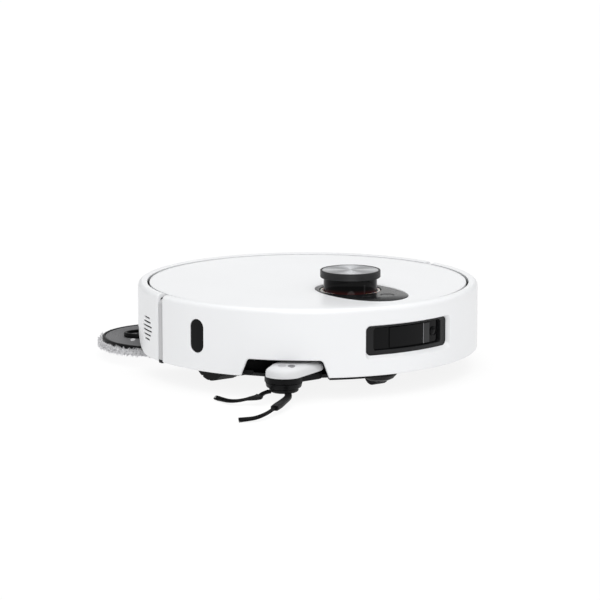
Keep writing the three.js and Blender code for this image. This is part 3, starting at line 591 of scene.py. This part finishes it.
def outer_shells():
    bumper = mesh_object("bumper_skin", *wall_solid(spread(-BUMPER_END, BUMPER_END, 150)))
    flare = [(150, 0), (BODY_R - 1.1, 0), (BODY_R + 0.9, 1.6), (BODY_R + 9, 1.6)]
    lip = [(BACK_R, window_edge(0, 2.4)), (BODY_R - 2.6, window_edge(0, 2.4))]
    merge(bumper, tapered(WINDOW_TH, lip))
    recess = [(160, window_edge(0)), (BACK_R, window_edge(0)), (BODY_R - 0.7, window_edge(0.85)),
              (BODY_R - 0.1, window_edge(1, 0.1)), (BODY_R + 0.4, window_edge(1, 0.8)),
              (BODY_R + 9, window_edge(1, 0.8))]
    sharp = [(150, 0), (BODY_R - 0.5, 0), (BODY_R + 0.6, 0.9), (BODY_R + 9, 0.9)]
    pill = round_rect(0, (PILL_LOW + PILL_HIGH) / 2, 2 * PILL_HALF, PILL_HIGH - PILL_LOW,
                      PILL_HALF - 0.1, 12)
    cut(bumper, tapered(WINDOW_TH, recess), wrapped(dense(pill), PILL_TH, sharp),
        wrapped(brush_cutout(), CUTOUT_TH, flare))
    true_wall(bumper)
    place(bumper, "bumper", "white_shell", MATERIALS["white_shell"], "bumper_shell")

    rise = [ARCH_START + (ARCH_END - ARCH_START) * sin(rad(a)) for a in spread(0, 90, 18)]
    side = spread(SHELL_END, ARCH_START, 8)[:-1] + rise
    side.append(ARCH_END + 0.05)
    back = spread(ARCH_END + 1, 360 - ARCH_END - 1, 110)
    thetas = side + back + [360 - th for th in reversed(side)]
    rear = mesh_object("rear_skin", *wall_solid(thetas, arch_low))
    lengths = [16, 22, 27, 27, 22, 17]
    slots = [round_rect(0, 40 + i * 4.4, length, 1.8, 0.85, 4) for i, length in enumerate(lengths)]
    cut(rear, *[wrapped(dense(s), AIR_SLOTS_TH, [(150, 0), (BODY_R - 0.4, 0), (BODY_R + 0.5, 0.45),
                                          (BODY_R + 5, 0.45)]) for s in slots])
    true_wall(rear)
    place(rear, "base", "white_shell", MATERIALS["white_shell"], "rear_shell")
    bars = [wrapped(dense(s), AIR_SLOTS_TH, [(171, -0.05), (BODY_R - 1.3, -0.05)]) for s in slots]
    solid("air_slot_bars", joined(*bars), "base", "black_plastic")

    for side, name in ((1, "right"), (-1, "left")):
        sections = []
        for share, r in ((0, 171.2), (0.42, 171.2), (0.43, 173.2), (0.46, 173.8), (1, 173.8)):
            th = side * (BUMPER_END - 1 + share * (SHELL_END - BUMPER_END + 1.4))
            strip = [(168.6, WALL_BOTTOM + 1.2), (r - 0.5, WALL_BOTTOM + 1.2)]
            strip += [(r, WALL_BOTTOM + 1.7), (r, 79.5)] + arc(r - 5, 79.5, 5, 15, 90, 6)
            sections.append([(*polar(th, q), z) for q, z in strip + [(168.6, 84.5)]])
        # The strip is white shell in a shallow groove; its mid grey paint is painted shade for the
        # shade that falls in that groove.
        solid(f"{name}_painted_shade_groove_strip", stations(sections), "base", "white_shell",
              material=GROOVE_SHADE_AND_PLUG_GREY)
        stop = []
        for th in (BUMPER_END + 0.9, SHELL_END - 0.5):
            corners = [(168, 20.6), (174.2, 20.6), (174.2, 23.6), (168, 23.6)]
            stop.append([(*polar(side * th, q), z) for q, z in corners])
        solid(f"{name}_groove_stop", stations(stop), "base", "black_plastic")


def deck_outline():
    """Egg outline of the black deck round the turret."""
    low, high = ((corner - AXIS) * 1000 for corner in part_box("turret_deck"))
    back, front, wide = high.y, low.y, (high.x - low.x) / 2
    waist = DECK_WAIST
    half = bezier((0, back), (wide * 0.6, back), (wide, back - 26), (wide, waist), steps=16)
    half += bezier((wide, waist), (wide, waist - 34), (wide * 0.62, front), (0, front), steps=16)
    half.append((0, front))
    other = [(-x, y) for x, y in half[1:-1]]
    return (half + other[::-1])[::-1]


def lid_and_deck():
    low, high = span("top_lid")
    outline = deck_outline()
    r = (LID_HIGH.x - LID_LOW.x) * 500
    profile = [(0, low), (r - 0.7, low), (r - 0.1, low + 0.6)]
    profile += arc(r - 0.7, SEAM_TOP - 0.4, 0.6, 0, 84, 5)
    profile += [(r - 8, SEAM_TOP + 0.5), (148, SEAM_TOP + 0.85), (138, SEAM_TOP + 1.07)]
    profile += [(128, high - 0.28), (114, high - 0.1), (100, high), (60, high), (0, high)]
    lid = mesh_object("lid_skin", *lathe(profile, 240))
    cut(lid, upright(outline, [(80, 0.6), (high - 1, 0.6), (high + 0.2, 1.2), (95, 1.2)]))
    place(lid, "lid", "white_shell", MATERIALS["white_shell"], "top_lid")
    low, high = span("turret_deck")
    deck = mesh_object("deck_skin", *upright(
        outline, [(low, 0), (high - 0.7, 0), (high - 0.2, -0.2), (high, -0.7)]))

    def hole(r, node):
        steps = [(0, 70), (r, 70), (r, high - 0.4), (r + 0.5, high + 0.4), (r + 0.5, 95), (0, 95)]
        return lathe(steps, 96, middle(node))

    cut(deck, hole(radius_of("turret_cap") + 0.8, "turret_well"),
        hole(BUTTON_HOLE_R, "start_button"), hole(BUTTON_HOLE_R, "home_button"))
    place(deck, "base", "deck_black", MATERIALS["deck_black"], "turret_deck")
    for node in ("start_button", "home_button"):
        low_z, high_z = span(node)
        cap = [(0, low_z), (BUTTON_R, low_z), (BUTTON_R, high_z - 0.5), (6.1, high_z - 0.1)]
        cap += [(4.5, high_z - 0.15), (2, high_z - 0.35), (0, high_z - 0.4)]
        solid(f"{node}_cap", lathe(cap, 48, middle(node)), node, "deck_black", node)


outer_shells()
lid_and_deck()


# ---------- front window and side sensor ----------
def ring_solid(loops):
    """A closed ring: each loop follows the same outline, and the last joins the first."""
    count = len(loops[0])
    verts = [p for loop in loops for p in loop]
    faces = []
    for i in range(len(loops)):
        a, b = i * count, (i + 1) % len(loops) * count
        for j in range(count):
            k = (j + 1) % count
            faces.append((a + j, a + k, b + k, b + j))
    return verts, faces


def pane(th, left, right, low, high, r0, r1, corner=0.0, soft=0.3, steps=40):
    """A plate that follows the round wall, with its corners rounded and its edges softened."""
    if corner:
        turns = [corner * (1 - cos(rad(a))) for a in spread(0, 90, 10)][1:]
        ends = [left + soft * 0.1] + [left + t for t in turns]
        mid = spread(left + corner, right - corner, steps)[1:-1]
        across = ends + mid + [right - t for t in reversed(turns)] + [right - soft * 0.1]
    else:
        across = [left, left + soft] + spread(left + soft, right - soft, steps)[1:-1]
        across += [right - soft, right]
    sections = []
    for x in across:
        inward = max(0, corner - (x - left), corner - (right - x))
        drop = corner - math.sqrt(max(0, corner**2 - inward**2))
        edge = r1 if min(x - left, right - x) > soft * 0.9 else r1 - soft
        zl, zh = low + drop, high - drop
        middle_z = (zl + zh) / 2
        s1, s2 = min(zl + soft, middle_z), max(zh - soft, middle_z)
        spot = polar(th - math.degrees(math.asin(x / BODY_R)), 1)
        rows = [(r0, zl), (edge - soft, zl), (edge, s1), (edge, s2), (edge - soft, zh), (r0, zh)]
        sections.append([(spot[0] * r, spot[1] * r, z) for r, z in rows])
    return stations(sections)


def window():
    th, face = WINDOW_TH, BACK_R - 0.3
    outside = soft_rect(BACK_HALF + 2.4, BACK_LOW - 2.4, BACK_HIGH + 2.4, 6)
    half, low, high = BACK_HALF - 8.2, BACK_LOW + 4.3, BACK_HIGH - 2.2

    def inside(by, depth):
        return on_wall(soft_rect(half - by, low + by, high - by, 3), th, depth)

    loops = [on_wall(outside, th, face - 3), on_wall(outside, th, face), inside(-0.5, face)]
    loops += [inside(0, face - 0.5), inside(0.5, face - 3.6), inside(0.5, face - 4.2)]
    loops.append(inside(-1.5, face - 4.2))
    solid("window_frame", ring_solid(loops), "bumper", "deck_black", "window_bezel")
    back = pane(th, 0.6 - half, half - 0.6, low + 0.6, high - 0.6, face - 4.1, face - 3.2, 2.5)
    solid("window_back_pane", back, "bumper", "dark_window", "window_glass")
    solid("window_main_pane", pane(th, -24.4, 19, low + 1.4, high - 0.9, face - 3.1, face - 2),
          "bumper", "dark_window")
    edge = pane(th, 19.4, 27.7, low + 1.2, high - 0.9, face - 3.1, face - 1.1, soft=0.5, steps=8)
    solid("window_divider", edge, "bumper", "deck_black", material=DIVIDER)
    line = pane(th, 18.7, 19.3, low + 1.4, high - 1.1, face - 3.1, face - 1.3, soft=0.1, steps=2)
    solid("window_edge_line", line, "bumper", "grey_plastic", material=MARK_GREY)
    lens = [(0, 0), (4.8, 0), (4.8, 0.6), (4.2, 0.9), (3.6, 0.4), (2.8, 0.7), (1.6, 1), (0, 1.1)]
    verts, faces = lathe(lens, 48)
    out = Vector((*polar(th - math.degrees(math.asin(35 / BODY_R)), 1), 0))
    side = out.cross(Vector((0, 0, 1)))
    base = out * (face - 3.1) + Vector((0, 0, (low + high) / 2))
    spots = [tuple(base + side * x + Vector((0, 0, y)) + out * z) for x, y, z in verts]
    solid("camera_lens", (spots, faces), "bumper", "dark_window")


def resampled(outline, count):
    """The outline as count evenly spaced points."""
    lengths = [0.0]
    ring = outline + outline[:1]
    for a, b in zip(ring, ring[1:]):
        lengths.append(lengths[-1] + math.dist(a, b))
    points, k = [], 0
    for i in range(count):
        want = lengths[-1] * i / count
        while lengths[k + 1] < want:
            k += 1
        share = (want - lengths[k]) / (lengths[k + 1] - lengths[k])
        a, b = ring[k], ring[k + 1]
        points.append((a[0] + (b[0] - a[0]) * share, a[1] + (b[1] - a[1]) * share))
    return points


def underbody_lip():
    """The underbody's black edge below the bumper, and the wall in front of the wheel well."""
    solid("underbody_lip", pane(19, -28, 28, 17.9, 22.4, 158, 165), "base", "black_plastic")
    wall = dense([(-126, -57), (-84, -57), (-84, -55), (-126, -55)])
    solid("wheel_well_front", upright(wall, [(13, 0), (36, 0)]), "base", "black_plastic")


def side_sensor():
    half, gap = PILL_HALF - 0.3, 0.3
    shape = pane(PILL_TH, -half, half, PILL_LOW + gap, PILL_HIGH - gap, 170.8, BODY_R - 0.5,
                 half - 0.05, 0.5, 10)
    solid("side_sensor_glass", shape, "bumper", "dark_window", "side_sensor_window")


# ---------- laser turret ----------
def turret():
    at_xy = middle("turret_cap")
    low, high = span("turret_cap")
    r, disc_r = radius_of("turret_cap"), radius_of("turret_cap_disc")
    cap = [(0, low), (r - 2.9, low), (r - 2.4, low + 0.5), (r - 1.2, low + 0.1)]
    cap += [(r - 0.4, low + 0.2), (r, low + 0.7), (r, low + 1.9)]
    for i in range(4):
        z = low + 2 + i * 1.25
        cap += [(r - 0.12, z + 0.1), (r, z + 0.25), (r, z + 1.1)]
    cap += arc(r - 0.7, high - 0.7, 0.7, 10, 90, 5)
    cap += [(r - 1.3, high), (r - 1.6, high - 0.3), (r - 1.7, high - 1.4), (0, high - 1.4)]
    solid("turret_lid", lathe(cap, 160, at_xy), "turret", "deck_black", "turret_cap",
          material=CAP_BLACK)
    disc = [(0, high - 1.1), (disc_r, high - 1.1), (disc_r, high - 0.6), (disc_r - 0.4, high - 0.3)]
    disc += [(18, high - 0.25), (9, high - 0.22), (0, high - 0.2)]
    solid("turret_disc", lathe(disc, 160, at_xy), "turret", "spun_aluminium", "turret_cap_disc")
    low, high = span("turret_window")
    r = radius_of("turret_window")
    glass = [(r - 2.2, low), (r, low), (r, low + 0.5), (r - 0.15, low + 0.8), (r - 0.15, high - 0.3)]
    glass += [(r - 0.4, high), (r - 2.2, high)]
    solid("turret_glass", lathe(glass, 160, at_xy), "turret", "dark_window", "turret_window",
          material=TURRET_GLASS)
    low, high = span("light_ring")
    inner, outer = r + 0.75, radius_of("light_ring") - 0.1
    band = [(inner, low), (outer, low), (outer, high - 0.4), (outer - 0.3, high - 0.05)]
    band += [(outer - 0.8, high), (inner + 0.35, high - 0.05), (inner, high - 0.4)]
    solid("turret_light_ring", lathe(band, 160, at_xy), "turret", "light_diffuser", "light_ring")
    low, high = span("turret_carriage")
    seat = [(0, 84), (26, 84), (26, low), (outer, low), (outer, high - 2), (r + 0.4, high - 2)]
    seat += [(r + 0.4, high - 0.3), (r + 0.1, high), (0, high)]
    solid("turret_seat", lathe(seat, 160, at_xy), "turret", "black_plastic", "turret_carriage")


# ---------- side brush ----------
def curve_points(knots, count):
    """Catmull-Rom curve through the knots."""
    pts = [Vector(k) for k in knots]
    pts = [2 * pts[0] - pts[1]] + pts + [2 * pts[-1] - pts[-2]]
    out = []
    for i in range(count + 1):
        t = i / count * (len(knots) - 1)
        k = min(int(t), len(knots) - 2)
        t -= k
        a, b, c, d = pts[k:k + 4]
        out.append(0.5 * (2 * b + (c - a) * t + (2 * a - 5 * b + 4 * c - d) * t * t
                          + (3 * b - a - 3 * c + d) * t**3))
    return out


def along(path):
    """Point, sideways and upward directions at each step of a path."""
    frames = []
    for i, point in enumerate(path):
        ahead = path[min(i + 1, len(path) - 1)] - path[max(i - 1, 0)]
        side = ahead.cross(Vector((0, 0, 1))).normalized()
        frames.append((point, side, side.cross(ahead).normalized()))
    return frames


def strap(path, sizes, sides=16, square=3.0):
    """A solid strap along a path; sizes gives its width and height from start to end."""
    frames = along(path)
    sections = []
    for i, (point, side, up) in enumerate(frames):
        t = i / (len(frames) - 1) * (len(sizes) - 1)
        k = min(int(t), len(sizes) - 2)
        w, h = (sizes[k][j] + (sizes[k + 1][j] - sizes[k][j]) * (t - k) for j in (0, 1))
        section = []
        for j in range(sides):
            c, s = cos(2 * math.pi * j / sides), sin(2 * math.pi * j / sides)
            x = math.copysign(abs(c) ** (2 / square), c) * w / 2
            y = math.copysign(abs(s) ** (2 / square), s) * h / 2
            section.append(tuple(point + side * x + up * y))
        sections.append(section)
    return stations(sections)


BRUSH_ROUTES = {
    "a": [(-8, 4, 10.6), (-22, 2.5, 9.5), (-32, -2.6, 8), (-40.2, 3.6, 5.9), (-49.5, 8, 4.4),
          (-53.8, 18, 3.3), (-52.7, 40, 2.1)],
    "b": [(-3, -10, 10.6), (-13.5, -26, 9.6), (-28.5, -37.5, 8), (-42.5, -46.5, 6.6),
          (-60.5, -57, 4.8), (-77, -61.5, 3.4), (-91.2, -55.4, 2.1)],
}


def bristles(path, strands, seed):
    """A tuft of separate strands that opens a little towards its blunt end."""
    random.seed(seed)
    frames = along(path)
    shapes = []
    for _ in range(strands):
        turn, part = random.uniform(0, 2 * math.pi), math.sqrt(random.random())
        lean, twist = random.uniform(-0.25, 0.25), random.uniform(-0.5, 0.5)
        stop = len(frames) - random.choice((0, 0, 0, 1))
        strand = []
        for i, (point, side, up) in enumerate(frames[:stop]):
            t = i / (len(frames) - 1)
            open_by = 1 + 0.7 * t * t
            angle = turn + twist * t
            x = 2.0 * open_by * part * cos(angle) + lean * t
            y = 1.35 * open_by * part * sin(angle)
            strand.append(point + side * x + up * y)
        shapes.append(strap(strand, [(0.5, 0.5), (0.42, 0.42)], 4, 2.0))
    return joined(*shapes)


def side_brush():
    hub = middle("side_brush_hub")
    low, high = span("side_brush_hub")
    rim = low + 4.2
    profile = [(0, low + 0.8), (3, low + 0.8), (3.4, low), (12.6, low), (14, low + 0.9)]
    profile += [(14.5, low + 1.8), (14.5, rim - 0.5), (14, rim), (3, rim), (3, high), (0, high)]
    solid("brush_hub", lathe(profile, 96, hub), "side_brush", "black_plastic", "side_brush_hub")
    sizes = {
        "a": [(7, 3.6), (6, 3), (5.5, 2.8), (5.5, 2.9), (5.5, 3), (10, 5.4), (9, 5), (7.5, 4.4),
              (6, 3.8), (4.6, 3)],
        "b": [(7, 4), (7.4, 4.2), (7.8, 4.6), (8.2, 5.2), (8.8, 5.8), (8.4, 5.4)],
    }
    for name, route in BRUSH_ROUTES.items():
        path = curve_points([(hub[0] + x, hub[1] + y, z) for x, y, z in route], 48)
        sleeve = strap(path[4:26], sizes[name])
        solid(f"brush_sleeve_{name}", sleeve, "side_brush", "brush_rubber",
              f"side_brush_arm_{name}")
        tuft = bristles(path[23:], 110, ord(name))
        solid(f"brush_bristles_{name}", tuft, "side_brush", "bristles",
              f"side_brush_tuft_{name}")


ARM_PIVOT = (-90, -131)
STRUT_FOOT = 19.5  # underside of the arm between pivot and motor
ARM_MARKS = [(-126.3, -132.9, rad(-35.5), 4, 8), (-119.7, -139.6, rad(-35.5), 3.7, 7)]


def pivot_lift(x):
    """How much higher the joint of cover and housing lies towards the pivot."""
    return 2.4 * min(1, max(0, (x + 122) / 40))


def strut_outline(hub, hub_r, pivot_r):
    """Outline of the arm from the motor to the pivot."""
    ahead = Vector(ARM_PIVOT) - Vector(hub)
    turn = math.degrees(math.atan2(ahead.y, ahead.x))
    lean = math.degrees(math.acos((hub_r - pivot_r) / ahead.length))
    first = arc(*hub, hub_r, turn + lean, turn + 360 - lean, 24)
    return first + arc(*ARM_PIVOT, pivot_r, turn - lean, turn + lean, 24)


def side_arm():
    outline = bezier((-142.5, -131), (-142.5, -144), (-132, -152.5), (-120, -151.5))
    outline += bezier((-120, -151.5), (-109, -149), (-98, -146), (-87.5, -143.2))
    outline += bezier((-87.5, -143.2), (-82, -141.5), (-78, -136), (-78, -131))
    outline += bezier((-78, -131), (-78, -124), (-84, -119), (-91, -117))
    outline += bezier((-91, -117), (-99, -114.5), (-106, -112), (-114, -109.5))
    outline += bezier((-114, -109.5), (-118, -108.2), (-122, -110), (-126, -113))
    outline += bezier((-126, -113), (-130, -116.7), (-135, -120.3), (-139, -124))
    outline += bezier((-139, -124), (-141.6, -126.2), (-142.5, -128), (-142.5, -131))
    outline = resampled(outline, 96)
    low, high = span("side_arm_cover")
    layers = [(low, -0.8), (low + 0.2, -0.2), (low + 0.8, 0), (high - 5.4, 0), (high - 4, -0.4)]
    layers += [(high - 2.6, -1.4), (high - 1.4, -3), (high - 0.6, -5), (high - 0.15, -7)]
    layers.append((high, -8.5))

    verts, faces = upright(outline, layers)
    verts = [(x, y, z + pivot_lift(x) * min(1, (high - z) / (high - low))) for x, y, z in verts]
    cover = mesh_object("arm_cover", verts, faces)
    for mark in ARM_MARKS:
        dent = [(0, high - 0.5), (1, high - 0.5), (1.08, high + 1), (0, high + 1)]
        cut(cover, stretched(lathe(dent, 48), *mark))
    place(cover, "brush_arm", "white_shell", ARM_WHITE, "side_arm_cover")
    for i, mark in enumerate(ARM_MARKS):
        plug = [(0, high - 1.6), (0.98, high - 1.6), (0.98, high - 0.25), (0.9, high - 0.1)]
        plug += [(0.55, high - 0.08), (0.5, high - 0.3), (0, high - 0.3)]
        solid(f"arm_mark_{i + 1}", stretched(lathe(plug, 48), *mark), "brush_arm",
              "grey_plastic", material=(GROOVE_SHADE_AND_PLUG_GREY, MARK_GREY)[i])
    hub = middle("side_brush_hub")
    low, high = span("side_arm_motor_housing")
    profile = [(0, low), (16.2, low), (16.9, low + 0.4), (17.4, low + 1.4), (18.1, low + 4.8)]
    profile += [(17.7, low + 5.1), (17.9, low + 5.7), (19, low + 6), (19.1, high - 0.5)]
    profile += [(18.6, high), (0, high)]
    layers = [(STRUT_FOOT, -0.6), (STRUT_FOOT + 0.6, 0), (high, 0)]
    strut = upright(strut_outline(hub, 15, 11), layers)
    wedge, faces = upright(strut_outline(hub, 13, 10), [(high - 3, 0), (high, 0), (high + 0.1, 0)])
    wedge = [(x, y, z + (pivot_lift(x) if z > high - 1 else 0)) for x, y, z in wedge]
    solid("arm_housing", joined(lathe(profile, 128, hub), strut, (wedge, faces)), "brush_arm",
          "black_plastic", "side_arm_motor_housing")


# ---------- mops ----------
HOLDER_R, LOBE = 30, 16  # the holder's mean radius, and how far its lobes go in and out
SLOT_R = 43
FRINGE = 3600  # strands
PAD_R = 72.5


def trefoil(centre, turn):
    """Three round lobes with waists between them, the first lobe at angle turn."""
    points = []
    for step in range(0, 360, 3):
        reach = HOLDER_R + LOBE * cos(rad(3 * step))
        a = rad(turn + step)
        points.append((centre[0] + reach * cos(a), centre[1] + reach * sin(a)))
    return points


def mop(side, turn):
    body = f"{side}_mop"
    centre = middle(f"{side}_mop_plate")
    low, high = span(f"{side}_mop_plate")
    paint = MATERIALS["mop_plate_grey"] if side == "right" else LEFT_PLATE
    rim = radius_of(f"{side}_mop_plate")
    profile = [(0, low), (rim - 2.1, low), (rim - 2.1, high - 0.9), (rim - 3.4, high - 0.9)]
    r = rim - 3.6
    while r > 14:
        profile += [(r, high), (r - 0.9, high), (r - 1.2, high - 0.3), (r - 1.9, high - 0.3)]
        r -= 2.2
    profile += [(r, high), (0, high)]
    solid(f"{side}_plate_disc", lathe(profile, 180, centre), body, "mop_plate_grey",
          f"{side}_mop_plate", material=paint)
    slots = []
    for i in range(3):
        a = rad(turn + 25 + 120 * i)
        patch = lathe([(0, high - 1), (1, high - 1), (0.97, high + 0.12), (0, high + 0.15)], 32)
        slots.append(stretched(patch, centre[0] + SLOT_R * cos(a), centre[1] + SLOT_R * sin(a),
                               a + rad(54.5), 6.5, 2.6))
    solid(f"{side}_plate_slots", joined(*slots), body, "mop_fibre")
    hoop = [(rim - 2, low), (rim, low), (rim, high - 0.1), (rim - 0.5, high + 0.4)]
    hoop += [(rim - 1.2, high + 0.5), (rim - 2, high + 0.45), (rim - 2.6, high)]
    hoop += [(rim - 2.7, high - 0.7), (rim - 2, high - 0.8)]
    solid(f"{side}_plate_rim", lathe(hoop, 180, centre), body, "black_plastic")

    bottom, top = span(f"{side}_mop_holder")
    lip = bottom + 4.5
    outer = resampled(dense(trefoil(centre, turn), 0.5), 150)
    inner = grown(outer, -3.4)
    loops = [[(x, y, z) for x, y in grown(line, grow)] for line, z, grow in (
        (outer, bottom, 0), (outer, lip - 1, 0), (outer, lip - 0.3, -0.3), (outer, lip, -1),
        (inner, lip, 1), (inner, lip - 0.4, 0.2), (inner, bottom + 0.6, 0), (inner, bottom, 0))]
    floor = upright(inner, [(bottom + 0.2, -0.1), (bottom + 1.4, -0.1)])
    solid(f"{side}_holder_floor", floor, body, "mop_plate_grey", material=paint)
    post = [(0, bottom), (17, bottom), (17, bottom + 2), (15.5, bottom + 3.4), (11, lip)]
    post += [(5, lip), (4.8, lip + 0.2), (4.8, top), (0, top)]
    ribs = []
    for i in range(3):
        a = turn + 120 * i
        lengthwise, across = Vector((cos(rad(a)), sin(rad(a)))), Vector((-sin(rad(a)), cos(rad(a))))
        corners = [(12, -4.5), (32, -3), (32, 3), (12, 4.5)]
        line = [Vector(centre) + lengthwise * u + across * v for u, v in corners]
        ribs.append(upright(resampled([tuple(p) for p in line], 40),
                            [(bottom, 0), (bottom + 2.6, 0), (bottom + 3.2, -0.6)]))
    holder = joined(ring_solid(loops), lathe(post, 64, centre), *ribs)
    solid(f"{side}_holder", holder, body, "black_plastic", f"{side}_mop_holder")
    mop_pad(side, centre, body)


def mop_pad(side, centre, body):
    """Looped microfibre pad: a lumpy disc and a fringe of short strands round its edge."""
    random.seed(7 if side == "right" else 8)
    low, high = span(f"{side}_mop_pad")
    profile = [(0, low + 1), (30, low + 1), (60, low + 1), (68, low + 1.1), (70.6, low + 1.8)]
    profile += [(71.4, low + 3), (71, high - 1), (69.5, high), (40, high), (0, high)]
    verts, faces = lathe(profile, 220, centre)
    lumpy = []
    for x, y, z in verts:
        push = random.uniform(-0.5, 0.5)
        if z > high - 0.5 or math.dist((x, y), centre) < 1:
            push = 0
        lumpy.append((x + push * 0.6, y + push * 0.6, z + push * 0.5))
    shapes = [(lumpy, faces)]
    for _ in range(FRINGE):
        turn, rise = random.uniform(0, 360), random.random()
        r = random.uniform(68.8, 71.2)
        root = Vector((centre[0] + r * cos(rad(turn)), centre[1] + r * sin(rad(turn)),
                       low + 1.2 + rise * (high - low - 1.6)))
        out = Vector((cos(rad(turn)), sin(rad(turn)), 0))
        aside = Vector((-out.y, out.x, 0)) * random.uniform(-1.4, 1.4)
        reach = random.uniform(1.6, 3.1)
        lift = random.uniform(-1.8, 2.6) + (rise - 0.35) * 3.2
        tip = root + out * reach + aside + Vector((0, 0, lift))
        over = math.hypot(tip.x - centre[0], tip.y - centre[1]) - PAD_R - 1.0
        if over > 0:
            tip -= out * over
        tip.z = min(max(tip.z, low), high + 3.4)
        bend = (root + tip) / 2 + out * 0.8 + Vector((0, 0, 0.5))
        shapes.append(strap([root, bend, tip], [(0.8, 0.8), (0.45, 0.45)], 4, 2.0))
    pad = mesh_object(f"{side}_mop_cloth", *joined(*shapes), 60)
    place(pad, body, "mop_fibre", MATERIALS["mop_fibre"], f"{side}_mop_pad")


window()
underbody_lip()
side_sensor()
turret()
side_brush()
side_arm()
mop("right", 155)
mop("left", 40)


# ---------- what stays as the CAD made it ----------
def dress_frame():
    """Softened edges and a material on every CAD node that still shows."""
    for node, obj in frame["nodes"].items():
        if obj.hide_render:
            continue
        obj.data.materials.clear()
        obj.data.materials.append(MATERIALS[SLOTS[node]])
        smooth(obj.data)
        bevel = obj.modifiers.new("soft_edges", "BEVEL")
        bevel.width = 0.0004
        bevel.segments = 2
        bevel.limit_method = "ANGLE"
        bevel.angle_limit = rad(35)


dress_frame()


# ---------- floor, light and camera ----------
AMBIENT = 0.4
TOP_SUN = 1.8
KEY_SUN = 0.95
STRIP = 0.8
BACK_SUN = 0.05
FLOOR_HALF = 14
FLOOR_GLOW = 0.88
LAMP_DISTANCE = 1.7
VIEW_TH = 35.5  # the side the camera stands on
CAMERA_ACROSS = Vector((0.8141, -0.5807, 0))
CAMERA_BACK = Vector((-0.5715, -0.8012, 0.1773))
CAMERA_SHIFT = (-8.054, 18.03, 3000)  # across, up and back from 50 mm over the floor
LENS = 174.1


def stage():
    scene = bpy.context.scene
    scene.view_settings.view_transform = "Standard"
    data = bpy.data.meshes.new("floor")
    corners = [(-1, -1), (1, -1), (1, 1), (-1, 1)]
    data.from_pydata([(x * FLOOR_HALF, y * FLOOR_HALF, 0) for x, y in corners], [], [(0, 1, 2, 3)])
    floor = bpy.data.objects.new("floor", data)
    scene.collection.objects.link(floor)
    pale = Shader("pale_floor", Roughness=0.9, Specular_IOR_Level=0.0, Emission_Strength=FLOOR_GLOW)
    pale.surface.inputs["Emission Color"].default_value = (1, 1, 1, 1)
    pale.paint(pale.noise(3), (0.3, (0.115, 0.115, 0.115)), (0.7, (0.125, 0.125, 0.125)))
    data.materials.append(pale.material)

    world = bpy.data.worlds.new("studio")
    world.use_nodes = True
    sky = world.node_tree.nodes["Background"]
    sky.inputs["Color"].default_value = (1, 1, 1, 1)
    sky.inputs["Strength"].default_value = AMBIENT
    scene.world = world

    def lamp(name, kind, azimuth, elevation, energy, **settings):
        """A light that shines on the object from a direction, azimuth 0 being the front."""
        light = bpy.data.lights.new(name, kind)
        light.energy = energy
        for key, value in settings.items():
            setattr(light, key, value)
        holder = bpy.data.objects.new(name, light)
        scene.collection.objects.link(holder)
        direction = Vector((-sin(rad(azimuth)) * cos(rad(elevation)),
                            -cos(rad(azimuth)) * cos(rad(elevation)), sin(rad(elevation))))
        holder.location = at(0, 0, 50) + direction * LAMP_DISTANCE
        holder.rotation_euler = direction.to_track_quat("Z", "Y").to_euler()

    lamp("top", "SUN", 20, 85, TOP_SUN, angle=1.2)
    lamp("key", "SUN", 33, 30, KEY_SUN, angle=0.7)
    lamp("back", "SUN", 215.5, 9, BACK_SUN, angle=0.35)
    for name, turn, energy in (("right_strip", -61, STRIP), ("left_strip", 112, STRIP * 0.3)):
        lamp(name, "AREA", VIEW_TH + turn, 14, energy, shape="RECTANGLE", size=0.06, size_y=1.1)

    up = CAMERA_BACK.cross(CAMERA_ACROSS)
    lens = bpy.data.cameras.new("camera")
    lens.lens = LENS
    lens.sensor_width = 36
    lens.clip_end = 50
    camera = bpy.data.objects.new("camera", lens)
    scene.collection.objects.link(camera)
    sideways, upwards, away = CAMERA_SHIFT
    shift = sideways * CAMERA_ACROSS + upwards * up + away * CAMERA_BACK
    turned = Matrix((CAMERA_ACROSS, up, CAMERA_BACK)).transposed().to_4x4()
    camera.matrix_world = Matrix.Translation(at(0, 0, 50) + shift / 1000) @ turned
    scene.camera = camera


stage()
